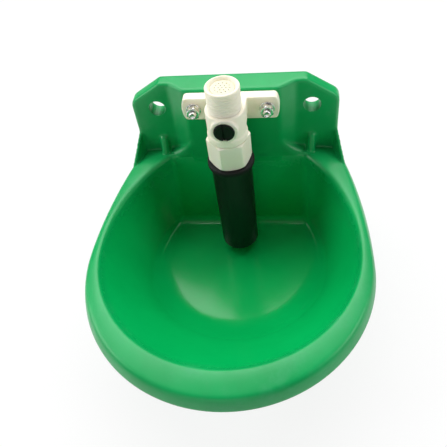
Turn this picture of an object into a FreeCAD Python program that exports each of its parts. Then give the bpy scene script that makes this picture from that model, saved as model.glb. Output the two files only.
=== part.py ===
import FreeCAD, Part
import math
import os
import Sketcher

# Livestock drinking bowl: a moulded green bowl with a back plate, and a plastic push tube valve
# bolted to the front of its pipe channel. X runs along the wall, +Y into the wall and +Z up.
# The wall face is y = 0 and the origin lies midway between the two wall screw holes.

doc = FreeCAD.newDocument("DrinkingBowl")
sheet = doc.addObject("Spreadsheet::Sheet", "Sizes")


# Sizes
class Size:
    """A length or count together with the sheet formula that gives it."""

    def __init__(self, value, text):
        self.value = float(value)
        self.text = text

    def join(self, other, sign, value):
        return Size(value, "(%s %s %s)" % (self.text, sign, as_size(other).text))

    def __add__(self, other):
        return self.join(other, "+", self.value + as_size(other).value)

    def __sub__(self, other):
        return self.join(other, "-", self.value - as_size(other).value)

    def __mul__(self, other):
        return self.join(other, "*", self.value * as_size(other).value)

    def __truediv__(self, other):
        return self.join(other, "/", self.value / as_size(other).value)

    def __radd__(self, other):
        return as_size(other) + self

    def __rsub__(self, other):
        return as_size(other) - self

    def __rmul__(self, other):
        return as_size(other) * self

    def __neg__(self):
        return Size(-self.value, "(0 - %s)" % self.text)


def as_size(number):
    if isinstance(number, Size):
        return number
    return Size(number, "%.6f" % number)


def drive(name, value):
    """Write one driving dimension into the sheet and give it back as a Size."""
    row = drive.row
    sheet.set("A%d" % row, name)
    sheet.set("B%d" % row, str(value))
    sheet.setAlias("B%d" % row, name)
    drive.row = row + 1
    return Size(value, "Sizes." + name)


drive.row = 1

# Bowl: heights are measured from the wall screw holes, depths from the wall
wall = 3.0  # moulded wall thickness
rim_drop = 37.0  # wall holes down to the crown of the rim
rim_fall = 4.5  # crown down to the outer edge of the rim
rim_skirt = 8.5  # height of the skirt under the rim edge
rim_front = 90.5  # round front of the rim, outside
rim_side = 330.0  # long side curve of the rim, outside
rim_middle = 111.5  # wall to the centre of the round front
mouth_front = 81.0  # round front of the mouth
mouth_side = 120.0  # side curve of the mouth
mouth_middle = 101.0  # wall to the centre of the mouth's round front
crown_width = 3.5  # mouth edge to the crown line
bowl_depth = 66.0  # crown of the rim down to the floor
floor_front = 62.0  # round front of the floor
floor_side = 80.0  # side curve of the floor
floor_middle = 66.0  # wall to the centre of the floor's round front
back_lean = 6.5  # how far the back wall leans forward down to the floor
floor_round = 6.0  # inside round between walls and floor
crease_round = 6.5  # inside round at the two back corners
rim_round = 4.0  # round on the outer edge of the rim
lip = 1.4  # bevel on the edge of the mouth
base_round = 4.0  # round under the bowl

# Back plate: two ears and the pipe channel box between them
hole_spacing = 106.0  # between the two wall screw holes
hole_bore = 12.0  # wall screw hole
hole_boss = 20.0  # boss behind each ear
ear_half = 71.0  # half the width across the ears
ear_depth = 10.5  # ears off the wall
plate_top = 20.0  # wall holes up to the top of the plate
plate_top_half = 49.0  # half the straight top edge
ear_shoulder = 5.5  # height of the outer corner of an ear
box_depth = 18.5  # front of the channel box off the wall
box_half = 31.5  # half the front of the channel box
box_foot = 42.5  # half the channel box at the ears
ear_round = 2.5  # round on the front edges of the ears
ear_corner = 8.0  # round on the outer corner of each ear
rib_place = 53.0  # middle of each small rib from the centre
rib_width = 5.6  # width of the small ribs
rib_height = 13.0  # height of the small ribs above the rim
rib_reach = 7.0  # how far the small ribs stand off the ears
wing_wall = 2.4  # thickness of the outer gussets
wing_height = 17.0  # height of the outer gussets above the rim
wing_reach = 18.0  # how far the outer gussets run forward
wing_spread = 6.0  # how far they spread beyond the ears

# Valve: heights from the wall holes, the axis stands off the wall
axis_off = 46.5  # wall to the axis of the valve
inlet_top = 43.5  # top of the threaded inlet
inlet_length = 16.0  # length of the inlet thread
inlet_major = 20.96  # inlet thread, outside
relief_height = 1.2  # height of the run-out groove under the thread
relief_depth = 0.9  # depth of the run-out groove
inlet_bore = 15.0  # bore of the inlet
inlet_depth = 13.5  # depth of the inlet bore
barrel = 24.6  # barrel of the valve body
collar = 25.6  # collar over the union nut
collar_height = 4.5  # height of the collar
collar_base = 6.0  # underside of the collar
spigot = 21.6  # threaded spigot under the collar
spigot_length = 8.0  # length of the spigot
flange_width = 64.0  # width across the two wings
flange_height = 17.0  # height of the wings
flange_thick = 7.0  # thickness of the wings
flange_drop = 1.5  # top of the wings below the plate top
flange_end = 20.0  # curve of the wing ends
neck_half = 11.2  # half the web between barrel and wings
throat = 6.0  # water way past the flow screw
chamber = 15.0  # valve chamber
chamber_top = 12.0  # roof of the valve chamber

# Flow screw
screw_height = 19.2  # axis of the flow screw
screw_head = 12.8  # head of the flow screw
screw_head_thick = 2.6  # thickness of its head
screw_proud = 0.8  # head proud of its boss
screw_boss = 17.0  # boss round the flow screw
boss_proud = 0.7  # boss proud of the barrel
screw_shank = 9.6  # threaded shank
screw_tip = 5.4  # plain tip that throttles the water
screw_travel = 2.25  # how far the screw goes in
slot_width = 2.1  # driver slot
slot_depth = 1.7  # depth of the driver slot
ring_wire = 1.5  # thickness of both O-rings

# Valve seat, poppet and spring
insert_flange = 2.0  # flange of the seat insert
insert_plug = 4.0  # plug of the seat insert in the chamber
seat_bore = 6.6  # bore of the seat
seat_lip = 0.6  # raised lip of the seat
seal_thick = 2.0  # rubber face of the poppet
seal_diameter = 10.6  # rubber face of the poppet
poppet_disc = 1.6  # disc over the rubber face
stem = 3.0  # stem of the poppet
free_play = 0.4  # stem tip to the tube head at rest
spring_outer = 8.4  # valve spring, outside
spring_wire = 0.8  # wire of the valve spring
spring_turns = 4.0  # turns of the valve spring

# Union nut and what it holds
nut_flats = 25.0  # union nut across the flats
nut_length = 19.3  # length of the union nut
nut_floor = 2.9  # inward flange at the foot of the nut
nut_mouth = 16.6  # opening in the foot of the nut
nut_boss = 22.0  # low boss under the nut
nut_boss_height = 1.0  # height of that boss
thread_gap = 0.15  # radial gap in the union thread
sleeve_wall = 1.2  # wall of the spacer sleeve
swivel_thick = 0.8  # washer that the tube head turns on
guard_outer = 31.0  # guard ring under the nut
guard_wall = 1.0  # wall of the guard ring
nut_turn = 42.0  # angle at which the union nut stopped when it was tightened
guard_drop = 3.3  # height of the guard ring

# Push tube
head = 18.2  # head of the tube inside the nut
head_thick = 2.8  # thickness of that head
tilt_room = 2.4  # top of the tube below the nut boss
tube_neck = 14.4  # neck through the nut
neck_hold = 14.0  # length of the neck inside the tube
neck_bore = 8.0  # water way through the neck
tube_top_outer = 27.0  # push tube at its top
tube_foot_outer = 26.4  # push tube at its foot
tube_foot = 7.5  # foot of the tube above the bowl floor
tube_inner = 20.0  # wide bore of the push tube

# Fasteners of the valve
bolt_spacing = 48.0  # between the two valve screws
bolt = 5.0  # shank of the valve screws
bolt_hole = 5.5  # clearance hole for them
bolt_head = 9.0  # pan head
bolt_head_height = 3.2  # height of the pan head
bolt_end = 2.6  # thread beyond the nut
washer = 10.0  # plain washers
washer_thick = 1.0  # plain washers
hex_flats = 8.0  # hex nut across the flats
hex_height = 4.0  # hex nut

gap = 0.1  # radial clearance of sliding pieces
edge_break = 0.8  # bevel on the edges of the valve body
ring_land = 2.2  # end of the screw's shank to the far side of its ring groove
seat_land = 0.9  # end of the insert's plug to its ring groove
fin_half = 0.5  # half the thickness of the poppet's fins
hub_height = 1.2  # hub that centres the valve spring
rib_slope = 0.35  # share of the ribs' reach that is left at their top
gusset_inset = 0.6  # gussets set in from the sides of the ears
seat_rim = 3.0  # raised rim of the tube head
head_web = 1.4  # web inside that rim
neck_relief = 0.3  # bottom of the tube's socket beyond the neck

# Strainer
cap_drop = 1.5  # cap of the strainer below the inlet's edge
cap_seat = 0.5  # strainer off the floor of the inlet bore
cap_wall = 1.0  # skirt of the strainer
cap_top = 1.2  # perforated top of the strainer
cap_hole = 1.2  # holes in the strainer's top
hole_pitch = 2.3  # between the rings of those holes
window_half = 1.3  # half the width of the windows
window_foot = 1.6  # foot of the strainer to the windows
window_head = 3.2  # windows to the top of the strainer
window_count = 8
gauze_wall = 0.3  # woven gauze

# Recess and chamfers of the fasteners
cross_arm = 2.2  # half the length of the cross recess
cross_half = 0.6  # half the width of its arms
cross_depth = 1.8  # depth of the cross recess
cup_depth = 0.5  # hollow in the end of each screw
hex_break = 0.8  # bevel on the hex nuts, inwards

# Every dimension above gets a cell of its own, and stands for that cell from here on
for name, value in list(globals().items()):
    if isinstance(value, float):
        globals()[name] = drive(name, value)

# Places that follow from the driving dimensions
rim_top = -rim_drop
rim_edge = rim_top - rim_fall
skirt_foot = rim_edge - rim_skirt
floor_level = rim_top - bowl_depth
back_foot = box_depth + back_lean
base_level = floor_level - wall
face = axis_off + barrel / 2 + boss_proud
flange_top = plate_top - flange_drop
flange_middle = flange_top - flange_height / 2
flange_face = box_depth + flange_thick
thread_foot = inlet_top - inlet_length
nut_top = collar_base
nut_foot = nut_top - nut_length
nut_inside = nut_foot + nut_floor
guard_level = nut_foot - nut_boss_height
head_level = nut_inside + swivel_thick
head_top = head_level + head_thick
tube_top = guard_level - tilt_room
tube_base = floor_level + tube_foot
spigot_foot = collar_base - spigot_length
insert_foot = spigot_foot - insert_flange
seat_level = spigot_foot + insert_plug + seat_lip
stem_tip = head_top + free_play
nut_bore = spigot / 2 + thread_gap
seal_gap = gap / 2
disc_top = seat_level + seal_gap + seal_thick + poppet_disc
recess_floor = face + screw_proud - screw_head_thick - screw_travel - gap
shank_floor = axis_off + throat / 2 + gap * 8
ring_floor = screw_shank / 2 - ring_wire + gap / 2
ring_place = shank_floor + screw_travel + ring_land - ring_wire / 2 - gap
tip_length = face + screw_proud - axis_off - throat / 2 - gap
tube_head_r = head / 2
seat_ring = tube_head_r - seat_rim
rim_inside = head_thick - head_web
HEX_CORNER = 1 / math.sqrt(3)


# Document helpers
def vector(x, y, z=0.0):
    return FreeCAD.Vector(x, y, z)


def new_body(label, x=0.0, y=0.0, z=0.0):
    """A body named after its sub-part, standing at a place that follows the sheet."""
    body = doc.addObject("PartDesign::Body", label)
    body.Label = label
    for letter, place in zip("xyz", (x, y, z)):
        body.setExpression("Placement.Base." + letter, as_size(place).text)
    return body


def datum(body, role):
    """One of the body's own planes or axes."""
    return [item for item in body.Origin.OriginFeatures if item.Role == role][0]


def new_sketch(body, name, role="XY_Plane", offset=None, shift=None):
    """Sketch on one plane of its body, lifted off it by offset and moved along X by shift."""
    sketch = body.newObject("Sketcher::SketchObject", name)
    sketch.AttachmentSupport = (datum(body, role), "")
    sketch.MapMode = "FlatFace"
    if offset is not None:
        sketch.setExpression("AttachmentOffset.Base.z", as_size(offset).text)
    if shift is not None:
        sketch.setExpression("AttachmentOffset.Base.x", as_size(shift).text)
    return sketch


def bind(sketch, kind, places, amount):
    """Add one dimension to a sketch and tie it to the sheet."""
    number = sketch.addConstraint(Sketcher.Constraint(kind, *places, amount.value))
    sketch.setExpression("Constraints[%d]" % number, amount.text)


def pin(sketch, item, end, x, y):
    """Hold one point of a sketch at x and y from its origin."""
    for kind, axis, amount in (("DistanceX", -2, as_size(x)), ("DistanceY", -1, as_size(y))):
        if amount.value == 0.0:
            sketch.addConstraint(Sketcher.Constraint("PointOnObject", item, end, axis))
        else:
            bind(sketch, kind, (-1, 1, item, end), amount)


def add_polygon(sketch, points):
    """Closed outline through the given corners."""
    first = sketch.GeometryCount
    corners = [vector(as_size(x).value, as_size(y).value) for x, y in points]
    count = len(corners)
    for i in range(count):
        sketch.addGeometry(Part.LineSegment(corners[i], corners[(i + 1) % count]), False)
    for i in range(count):
        following = first + (i + 1) % count
        sketch.addConstraint(Sketcher.Constraint("Coincident", first + i, 2, following, 1))
    for i, (x, y) in enumerate(points):
        pin(sketch, first + i, 1, x, y)


def add_circle(sketch, x, y, diameter):
    """Full circle tied to the sheet by its centre and diameter."""
    item = sketch.GeometryCount
    x, y, diameter = as_size(x), as_size(y), as_size(diameter)
    circle = Part.Circle(vector(x.value, y.value), vector(0, 0, 1), diameter.value / 2)
    sketch.addGeometry(circle, False)
    pin(sketch, item, 3, x, y)
    bind(sketch, "Diameter", (item,), diameter)


def add_egg(sketch, front, side, middle, back, corner=None):
    """Egg outline: round front, two long side curves, straight back with sharp or round corners."""
    shift = side.value - front.value
    round_off = 0.0 if corner is None else corner.value
    climb = math.asin((middle.value - back.value - round_off) / (side.value - round_off))
    inner = (side.value - round_off) * math.cos(climb) - shift
    level = -middle.value
    up = vector(0, 0, 1)

    def arc(x, y, radius, start, end):
        return Part.ArcOfCircle(Part.Circle(vector(x, y), up, radius), start, end)

    pieces = [arc(0, level, front.value, math.pi, 2 * math.pi), arc(-shift, level, side.value, 0, climb)]
    if corner is not None:
        pieces.append(arc(inner, -back.value - round_off, round_off, climb, math.pi / 2))
    line = len(pieces)
    pieces.append(Part.LineSegment(vector(inner, -back.value), vector(-inner, -back.value)))
    if corner is not None:
        pieces.append(arc(-inner, -back.value - round_off, round_off, math.pi / 2, math.pi - climb))
    pieces.append(arc(shift, level, side.value, math.pi - climb, math.pi))
    for piece in pieces:
        sketch.addGeometry(piece, False)
    count = len(pieces)
    for i in range(count):
        kind = "Coincident" if corner is None else "Tangent"
        sketch.addConstraint(Sketcher.Constraint(kind, i, 2, (i + 1) % count, 1))
    sketch.addConstraint(Sketcher.Constraint("PointOnObject", 0, 3, -2))
    bind(sketch, "DistanceY", (-1, 1, 0, 3), -middle)
    bind(sketch, "Radius", (0,), front)
    for item in (1, count - 1):
        sketch.addConstraint(Sketcher.Constraint("Horizontal", item, 3, 0, 3))
        bind(sketch, "Radius", (item,), side)
    if corner is None:
        for end in (1, 2):
            sketch.addConstraint(Sketcher.Constraint("Horizontal", 0, end, 0, 3))
    else:
        for item in (line - 1, line + 1):
            bind(sketch, "Radius", (item,), corner)
    sketch.addConstraint(Sketcher.Constraint("Horizontal", line))
    if back.value == 0.0:
        sketch.addConstraint(Sketcher.Constraint("PointOnObject", line, 1, -1))
    else:
        bind(sketch, "DistanceY", (-1, 1, line, 1), -back)


def extrude(body, kind, name, sketch, length, backward=False):
    """Pad or Pocket of one sketch by a length from the sheet."""
    feature = body.newObject("PartDesign::" + kind, name)
    feature.Profile = sketch
    feature.Type = "Length"
    feature.setExpression("Length", as_size(length).text)
    feature.Reversed = backward
    return feature


def turn(body, kind, name, sketch):
    """Revolution or Groove of one sketch about its own upright axis."""
    feature = body.newObject("PartDesign::" + kind, name)
    feature.Profile = sketch
    feature.ReferenceAxis = (sketch, ["V_Axis"])
    feature.Angle = 360
    return feature


def turned_body(label, level, points):
    """A piece turned round the valve axis from its half section, given as radius and height."""
    body = new_body(label, 0.0, -axis_off, level)
    sketch = new_sketch(body, label + "_section", "XZ_Plane")
    add_polygon(sketch, points)
    turn(body, "Revolution", label + "_turned", sketch)
    return body


def loft(body, kind, name, sketches):
    """Ruled AdditiveLoft or SubtractiveLoft through the sketches in their order."""
    feature = body.newObject("PartDesign::" + kind, name)
    feature.Profile = sketches[0]
    feature.Sections = sketches[1:]
    feature.Ruled = True
    return feature


def dress(body, kind, name, choose, amount):
    """Fillet or Chamfer on the edges that a test picks from the body as it stands."""
    doc.recompute()
    base = body.Tip
    names = ["Edge%d" % (i + 1) for i, edge in enumerate(base.Shape.Edges) if choose(edge)]
    feature = body.newObject("PartDesign::" + kind, name)
    feature.Base = (base, names)
    feature.setExpression("Radius" if kind == "Fillet" else "Size", as_size(amount).text)
    return feature


def mirror_x(body, name, features):
    """Repeat features on the other side of the middle plane."""
    mirrored = body.newObject("PartDesign::Mirrored", name)
    mirrored.Originals = features
    mirrored.MirrorPlane = (datum(body, "YZ_Plane"), [""])
    body.Tip = mirrored
    return mirrored


def near(number, target, slack=0.05):
    """True where a measured length is the stated one."""
    return abs(number - target) < slack


def spans(edge, low, high, axis):
    """True where an edge's box runs from low to high along one axis."""
    box = edge.BoundBox
    start = {"x": box.XMin, "y": box.YMin, "z": box.ZMin}[axis]
    end = {"x": box.XMax, "y": box.YMax, "z": box.ZMax}[axis]
    return near(start, low) and near(end, high)


# Bowl
def make_bowl():
    """Egg-shaped shell with a rolled rim, moulded in one piece with its hollow back plate."""
    body = new_body("bowl")
    wall_face = as_size(0.0)

    # rim slab: a skirt and a crown that falls away to the outside
    low = new_sketch(body, "rim_skirt_outline", offset=skirt_foot)
    add_egg(low, rim_front, rim_side, rim_middle, wall_face)
    extrude(body, "Pad", "rim_skirt_pad", low, rim_skirt)
    edge = new_sketch(body, "rim_edge_outline", offset=rim_edge)
    add_egg(edge, rim_front, rim_side, rim_middle, wall_face)
    crown = new_sketch(body, "rim_crown_outline", offset=rim_top)
    add_egg(crown, mouth_front + crown_width, mouth_side + crown_width, mouth_middle, wall_face)
    loft(body, "AdditiveLoft", "rim_crown", [edge, crown])
    dress(body, "Fillet", "rim_edge_round", is_rim_edge, rim_round)

    # the slab is hollow underneath
    under = new_sketch(body, "rim_hollow_outline", offset=skirt_foot)
    add_egg(under, rim_front - wall, rim_side - wall, rim_middle, wall)
    extrude(body, "Pocket", "rim_hollow", under, rim_skirt - wall, backward=True)
    upper = new_sketch(body, "rim_hollow_top", offset=rim_edge - wall)
    add_egg(upper, rim_front - wall, rim_side - wall, rim_middle, wall)
    roof = new_sketch(body, "rim_hollow_roof", offset=rim_top - wall)
    inwards = crown_width - wall
    add_egg(roof, mouth_front + inwards, mouth_side + inwards, mouth_middle, wall)
    loft(body, "SubtractiveLoft", "rim_hollow_crown", [upper, roof])

    # basin, solid at first
    bottom = new_sketch(body, "basin_base_outline", offset=base_level)
    crease = crease_round + wall
    spread = wall * 0.75
    add_egg(bottom, floor_front + spread, floor_side + spread, floor_middle, back_foot - wall, crease)
    top = new_sketch(body, "basin_top_outline", offset=rim_top - wall)
    add_egg(top, mouth_front + spread, mouth_side + spread, mouth_middle, box_depth - wall, crease)
    loft(body, "AdditiveLoft", "basin", [bottom, top])
    dress(body, "Fillet", "base_round", is_base_edge, base_round)

    # ears across the whole plate, and the channel box in front of them
    plate = new_sketch(body, "ear_outline", "XZ_Plane")
    foot = skirt_foot
    add_polygon(plate, [
        (-ear_half, foot), (ear_half, foot), (ear_half, ear_shoulder),
        (plate_top_half, plate_top), (-plate_top_half, plate_top), (-ear_half, ear_shoulder),
    ])
    extrude(body, "Pad", "ears", plate, ear_depth)
    dress(body, "Fillet", "ear_corner_round", is_ear_corner, ear_corner)
    dress(body, "Fillet", "ear_edge_round", is_ear_front_edge, ear_round)

    # hollow behind each ear, with a boss round the screw hole
    shell = new_sketch(body, "ear_hollow_outline", "XZ_Plane")
    add_polygon(shell, [
        (box_foot, rim_top + wall / 2), (ear_half - wall, rim_top + wall / 2),
        (ear_half - wall, ear_shoulder - wall / 2), (plate_top_half - wall / 2, plate_top - wall),
        (box_foot, plate_top - wall),
    ])
    add_circle(shell, hole_spacing / 2, 0.0, hole_boss)
    hollow = extrude(body, "Pocket", "ear_hollow", shell, ear_depth - wall, backward=True)
    bore = new_sketch(body, "wall_hole_outline", "XZ_Plane")
    add_circle(bore, hole_spacing / 2, 0.0, hole_bore)
    hole = extrude(body, "Pocket", "wall_hole", bore, ear_depth * 2, backward=True)
    mirror_x(body, "other_ear", [hollow, hole])

    # channel box between the ears
    box = new_sketch(body, "box_outline", offset=skirt_foot)
    add_polygon(box, [
        (-box_foot, 0.0), (-box_foot, -ear_depth), (-box_half, -box_depth),
        (box_half, -box_depth), (box_foot, -ear_depth), (box_foot, 0.0),
    ])
    extrude(body, "Pad", "channel_box", box, plate_top - skirt_foot)

    # small rib and outer gusset beside each ear
    rib = new_sketch(body, "rib_outline", "YZ_Plane", offset=rib_place - rib_width / 2)
    add_polygon(rib, [
        (-ear_depth + wall / 2, rim_edge), (-ear_depth - rib_reach, rim_edge),
        (-ear_depth - rib_reach, rim_top), (-ear_depth - rib_reach * rib_slope, rim_top + rib_height),
        (-ear_depth + wall / 2, rim_top + rib_height),
    ])
    small_rib = extrude(body, "Pad", "small_rib", rib, rib_width)
    web = new_sketch(body, "gusset_outline", offset=rim_edge - wall / 2)
    side = ear_half - gusset_inset
    add_polygon(web, [
        (side - wing_wall, -ear_depth + wall / 2), (side, -ear_depth + wall / 2),
        (ear_half + wing_spread, -ear_depth - wing_reach),
        (ear_half + wing_spread - wing_wall, -ear_depth - wing_reach),
    ])
    gusset = extrude(body, "Pad", "gusset", web, rim_top - rim_edge + wall / 2 + wing_height)
    slope = new_sketch(body, "gusset_slope_outline", "YZ_Plane", offset=ear_half - wing_wall * 3)
    add_polygon(slope, [
        (-ear_depth, rim_top + wing_height), (-ear_depth - wing_reach, rim_edge + wall / 2),
        (-ear_depth - wing_reach - wall, rim_edge + wall / 2),
        (-ear_depth - wing_reach - wall, rim_top + wing_height + wall),
        (-ear_depth, rim_top + wing_height + wall),
    ])
    across = wing_spread + wing_wall * 3 + wall
    trim = extrude(body, "Pocket", "gusset_slope", slope, across, backward=True)
    mirror_x(body, "other_ribs", [small_rib, gusset, trim])

    # the cavity, from the mouth down to the floor
    floor = new_sketch(body, "cavity_floor", offset=floor_level)
    add_egg(floor, floor_front, floor_side, floor_middle, back_foot, crease_round)
    mouth = new_sketch(body, "cavity_mouth", offset=rim_top)
    add_egg(mouth, mouth_front, mouth_side, mouth_middle, box_depth, crease_round)
    loft(body, "SubtractiveLoft", "cavity", [floor, mouth])
    dress(body, "Fillet", "floor_round", is_floor_edge, floor_round)
    inner = new_sketch(body, "lip_inner_outline", offset=rim_top - lip)
    add_egg(inner, mouth_front - lip / 2, mouth_side - lip / 2, mouth_middle, box_depth, crease_round)
    flare = new_sketch(body, "lip_outer_outline", offset=rim_top)
    add_egg(flare, mouth_front + lip, mouth_side + lip, mouth_middle, box_depth, crease_round)
    loft(body, "SubtractiveLoft", "lip_flare", [inner, flare])

    # pipe channel behind the box, open at the wall and downwards
    channel = new_sketch(body, "channel_outline", offset=skirt_foot - wall)
    slant = wall * 0.4
    add_polygon(channel, [
        (-box_foot + wall * 1.5, wall), (-box_foot + wall * 1.5, -ear_depth + slant),
        (-box_half + slant, -box_depth + wall), (box_half - slant, -box_depth + wall),
        (box_foot - wall * 1.5, -ear_depth + slant), (box_foot - wall * 1.5, wall),
    ])
    extrude(body, "Pocket", "pipe_channel", channel, plate_top - skirt_foot, backward=True)

    # screw holes of the valve
    fixing = new_sketch(body, "valve_hole_outline", "XZ_Plane")
    add_circle(fixing, bolt_spacing / 2, flange_middle, bolt_hole)
    screw_hole = extrude(body, "Pocket", "valve_hole", fixing, box_depth * 2, backward=True)
    mirror_x(body, "other_valve_hole", [screw_hole])
    return body


def is_rim_edge(edge):
    in_front = edge.BoundBox.YMin < -wall.value
    return in_front and spans(edge, rim_edge.value, rim_edge.value, "z")


def is_base_edge(edge):
    return spans(edge, base_level.value, base_level.value, "z")


def is_ear_corner(edge):
    at_side = near(abs(edge.BoundBox.XMin), ear_half.value)
    at_shoulder = spans(edge, ear_shoulder.value, ear_shoulder.value, "z")
    return at_side and at_shoulder and spans(edge, -ear_depth.value, 0.0, "y")


def is_ear_front_edge(edge):
    box = edge.BoundBox
    outside = max(abs(box.XMin), abs(box.XMax)) > plate_top_half.value
    above_rim = box.ZMax > rim_top.value + 1 and box.ZMin > rim_edge.value - 1
    return outside and above_rim and spans(edge, -ear_depth.value, -ear_depth.value, "y")


def is_floor_edge(edge):
    return spans(edge, floor_level.value, floor_level.value, "z")


# Valve body
def make_valve_body():
    """Inlet, barrel, collar and spigot in one turning, with two wings and the flow screw's boss."""
    body = new_body("valve_body", 0.0, -axis_off, 0.0)
    wings = new_sketch(body, "wing_plate_outline", "XZ_Plane", offset=box_depth - axis_off)
    add_wings(wings)
    extrude(body, "Pad", "wing_plate", wings, flange_thick)
    dress(body, "Chamfer", "wing_round", is_wing_edge, edge_break)
    neck = new_sketch(body, "neck_outline", "XZ_Plane", offset=box_depth - axis_off + flange_thick / 2)
    neck_top = flange_top - gap * 3
    add_polygon(neck, [
        (-neck_half, collar_base), (neck_half, collar_base), (neck_half, neck_top), (-neck_half, neck_top),
    ])
    extrude(body, "Pad", "neck", neck, axis_off - box_depth - flange_thick / 2)
    turned = new_sketch(body, "valve_half_section", "XZ_Plane")
    collar_top = collar_base + collar_height
    inlet = inlet_major / 2
    groove = inlet - relief_depth
    thread_start = thread_foot + relief_height
    add_polygon(turned, [
        (0.0, spigot_foot), (spigot / 2, spigot_foot), (spigot / 2, collar_base),
        (collar / 2, collar_base), (collar / 2, collar_top), (barrel / 2, collar_top),
        (barrel / 2, thread_foot), (groove, thread_foot), (groove, thread_start), (inlet, thread_start),
        (inlet, inlet_top - edge_break),
        (inlet - edge_break, inlet_top), (0.0, inlet_top),
    ])
    turn(body, "Revolution", "valve_turning", turned)

    boss = new_sketch(body, "screw_boss_outline", "XZ_Plane")
    add_circle(boss, 0.0, screw_height, screw_boss)
    extrude(body, "Pad", "screw_boss", boss, face - axis_off)

    bores = new_sketch(body, "water_way_section", "XZ_Plane")
    inlet_floor = inlet_top - inlet_depth
    add_polygon(bores, [
        (0.0, spigot_foot), (chamber / 2, spigot_foot), (chamber / 2, chamber_top),
        (throat / 2, chamber_top), (throat / 2, inlet_floor), (inlet_bore / 2, inlet_floor),
        (inlet_bore / 2, inlet_top), (0.0, inlet_top),
    ])
    turn(body, "Groove", "water_way", bores)
    steps = (
        ("head_recess", screw_head + gap * 2, face - axis_off, face - recess_floor),
        ("shank_bore", screw_shank + gap * 2, recess_floor - axis_off, recess_floor - shank_floor),
        ("tip_bore", screw_tip + gap * 4, shank_floor - axis_off, shank_floor - axis_off),
    )
    for name, diameter, start, length in steps:
        outline = new_sketch(body, name + "_outline", "XZ_Plane", offset=start)
        add_circle(outline, 0.0, screw_height, diameter)
        extrude(body, "Pocket", name, outline, length)
    for name, side in (("left_hole", -1), ("right_hole", 1)):
        outline = new_sketch(body, name + "_outline", "XZ_Plane", offset=flange_face - axis_off)
        add_circle(outline, bolt_spacing / 2 * side, flange_middle, bolt_hole)
        extrude(body, "Pocket", name, outline, flange_thick)
    return body


def add_wings(sketch):
    """Outline of the wing plate: straight above and below, with arched ends."""
    centre = flange_width.value / 2 - flange_end.value
    half = flange_height.value / 2
    lean = math.asin(half / flange_end.value)
    level = flange_middle.value
    reach = centre + flange_end.value * math.cos(lean)
    up = vector(0, 0, 1)
    right = Part.Circle(vector(centre, level), up, flange_end.value)
    left = Part.Circle(vector(-centre, level), up, flange_end.value)
    pieces = (
        Part.ArcOfCircle(right, -lean, lean),
        Part.LineSegment(vector(reach, level + half), vector(-reach, level + half)),
        Part.ArcOfCircle(left, math.pi - lean, math.pi + lean),
        Part.LineSegment(vector(-reach, level - half), vector(reach, level - half)),
    )
    for piece in pieces:
        sketch.addGeometry(piece, False)
    for i in range(4):
        sketch.addConstraint(Sketcher.Constraint("Coincident", i, 2, (i + 1) % 4, 1))
    pin(sketch, 0, 3, flange_width / 2 - flange_end, flange_middle)
    pin(sketch, 2, 3, -flange_width / 2 + flange_end, flange_middle)
    bind(sketch, "Radius", (0,), flange_end)
    bind(sketch, "Radius", (2,), flange_end)
    bind(sketch, "DistanceY", (-1, 1, 1, 1), flange_top)
    sketch.addConstraint(Sketcher.Constraint("Horizontal", 1))
    bind(sketch, "DistanceY", (-1, 1, 3, 1), flange_top - flange_height)
    sketch.addConstraint(Sketcher.Constraint("Horizontal", 3))


def is_wing_edge(edge):
    y = (axis_off - flange_face).value
    return spans(edge, y, y, "y")


# Flow screw with its sealing ring
def make_flow_screw():
    """Slotted screw that throttles the water way, drawn from the face of its head inwards."""
    body = new_body("flow_screw", 0.0, -face - screw_proud, screw_height)
    shape = new_sketch(body, "screw_half_section")
    bevel = edge_break / 2
    shank_end = face + screw_proud - shank_floor - screw_travel
    groove_start = shank_end - ring_land
    add_polygon(shape, [
        (0.0, 0.0), (screw_head / 2 - bevel, 0.0), (screw_head / 2, bevel),
        (screw_head / 2, screw_head_thick), (screw_shank / 2, screw_head_thick),
        (screw_shank / 2, groove_start),
        (ring_floor, groove_start), (ring_floor, groove_start + ring_wire + gap * 2),
        (screw_shank / 2, groove_start + ring_wire + gap * 2), (screw_shank / 2, shank_end),
        (screw_tip / 2, shank_end), (screw_tip / 2, tip_length - edge_break),
        (screw_tip / 2 - edge_break, tip_length), (0.0, tip_length),
    ])
    turn(body, "Revolution", "screw_turning", shape)
    slot = new_sketch(body, "slot_outline", "XZ_Plane")
    half = slot_width / 2
    add_polygon(slot, [
        (-half, -screw_head), (half, -screw_head), (half, screw_head), (-half, screw_head),
    ])
    extrude(body, "Pocket", "driver_slot", slot, slot_depth)
    return body


def make_ring(label, x, y, z, role, inner, wire):
    """O-ring turned from its round section."""
    body = new_body(label, x, y, z)
    section = new_sketch(body, label + "_section", role)
    add_circle(section, inner + wire / 2, 0.0, wire)
    turn(body, "Revolution", label + "_turned", section)
    return body


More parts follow.
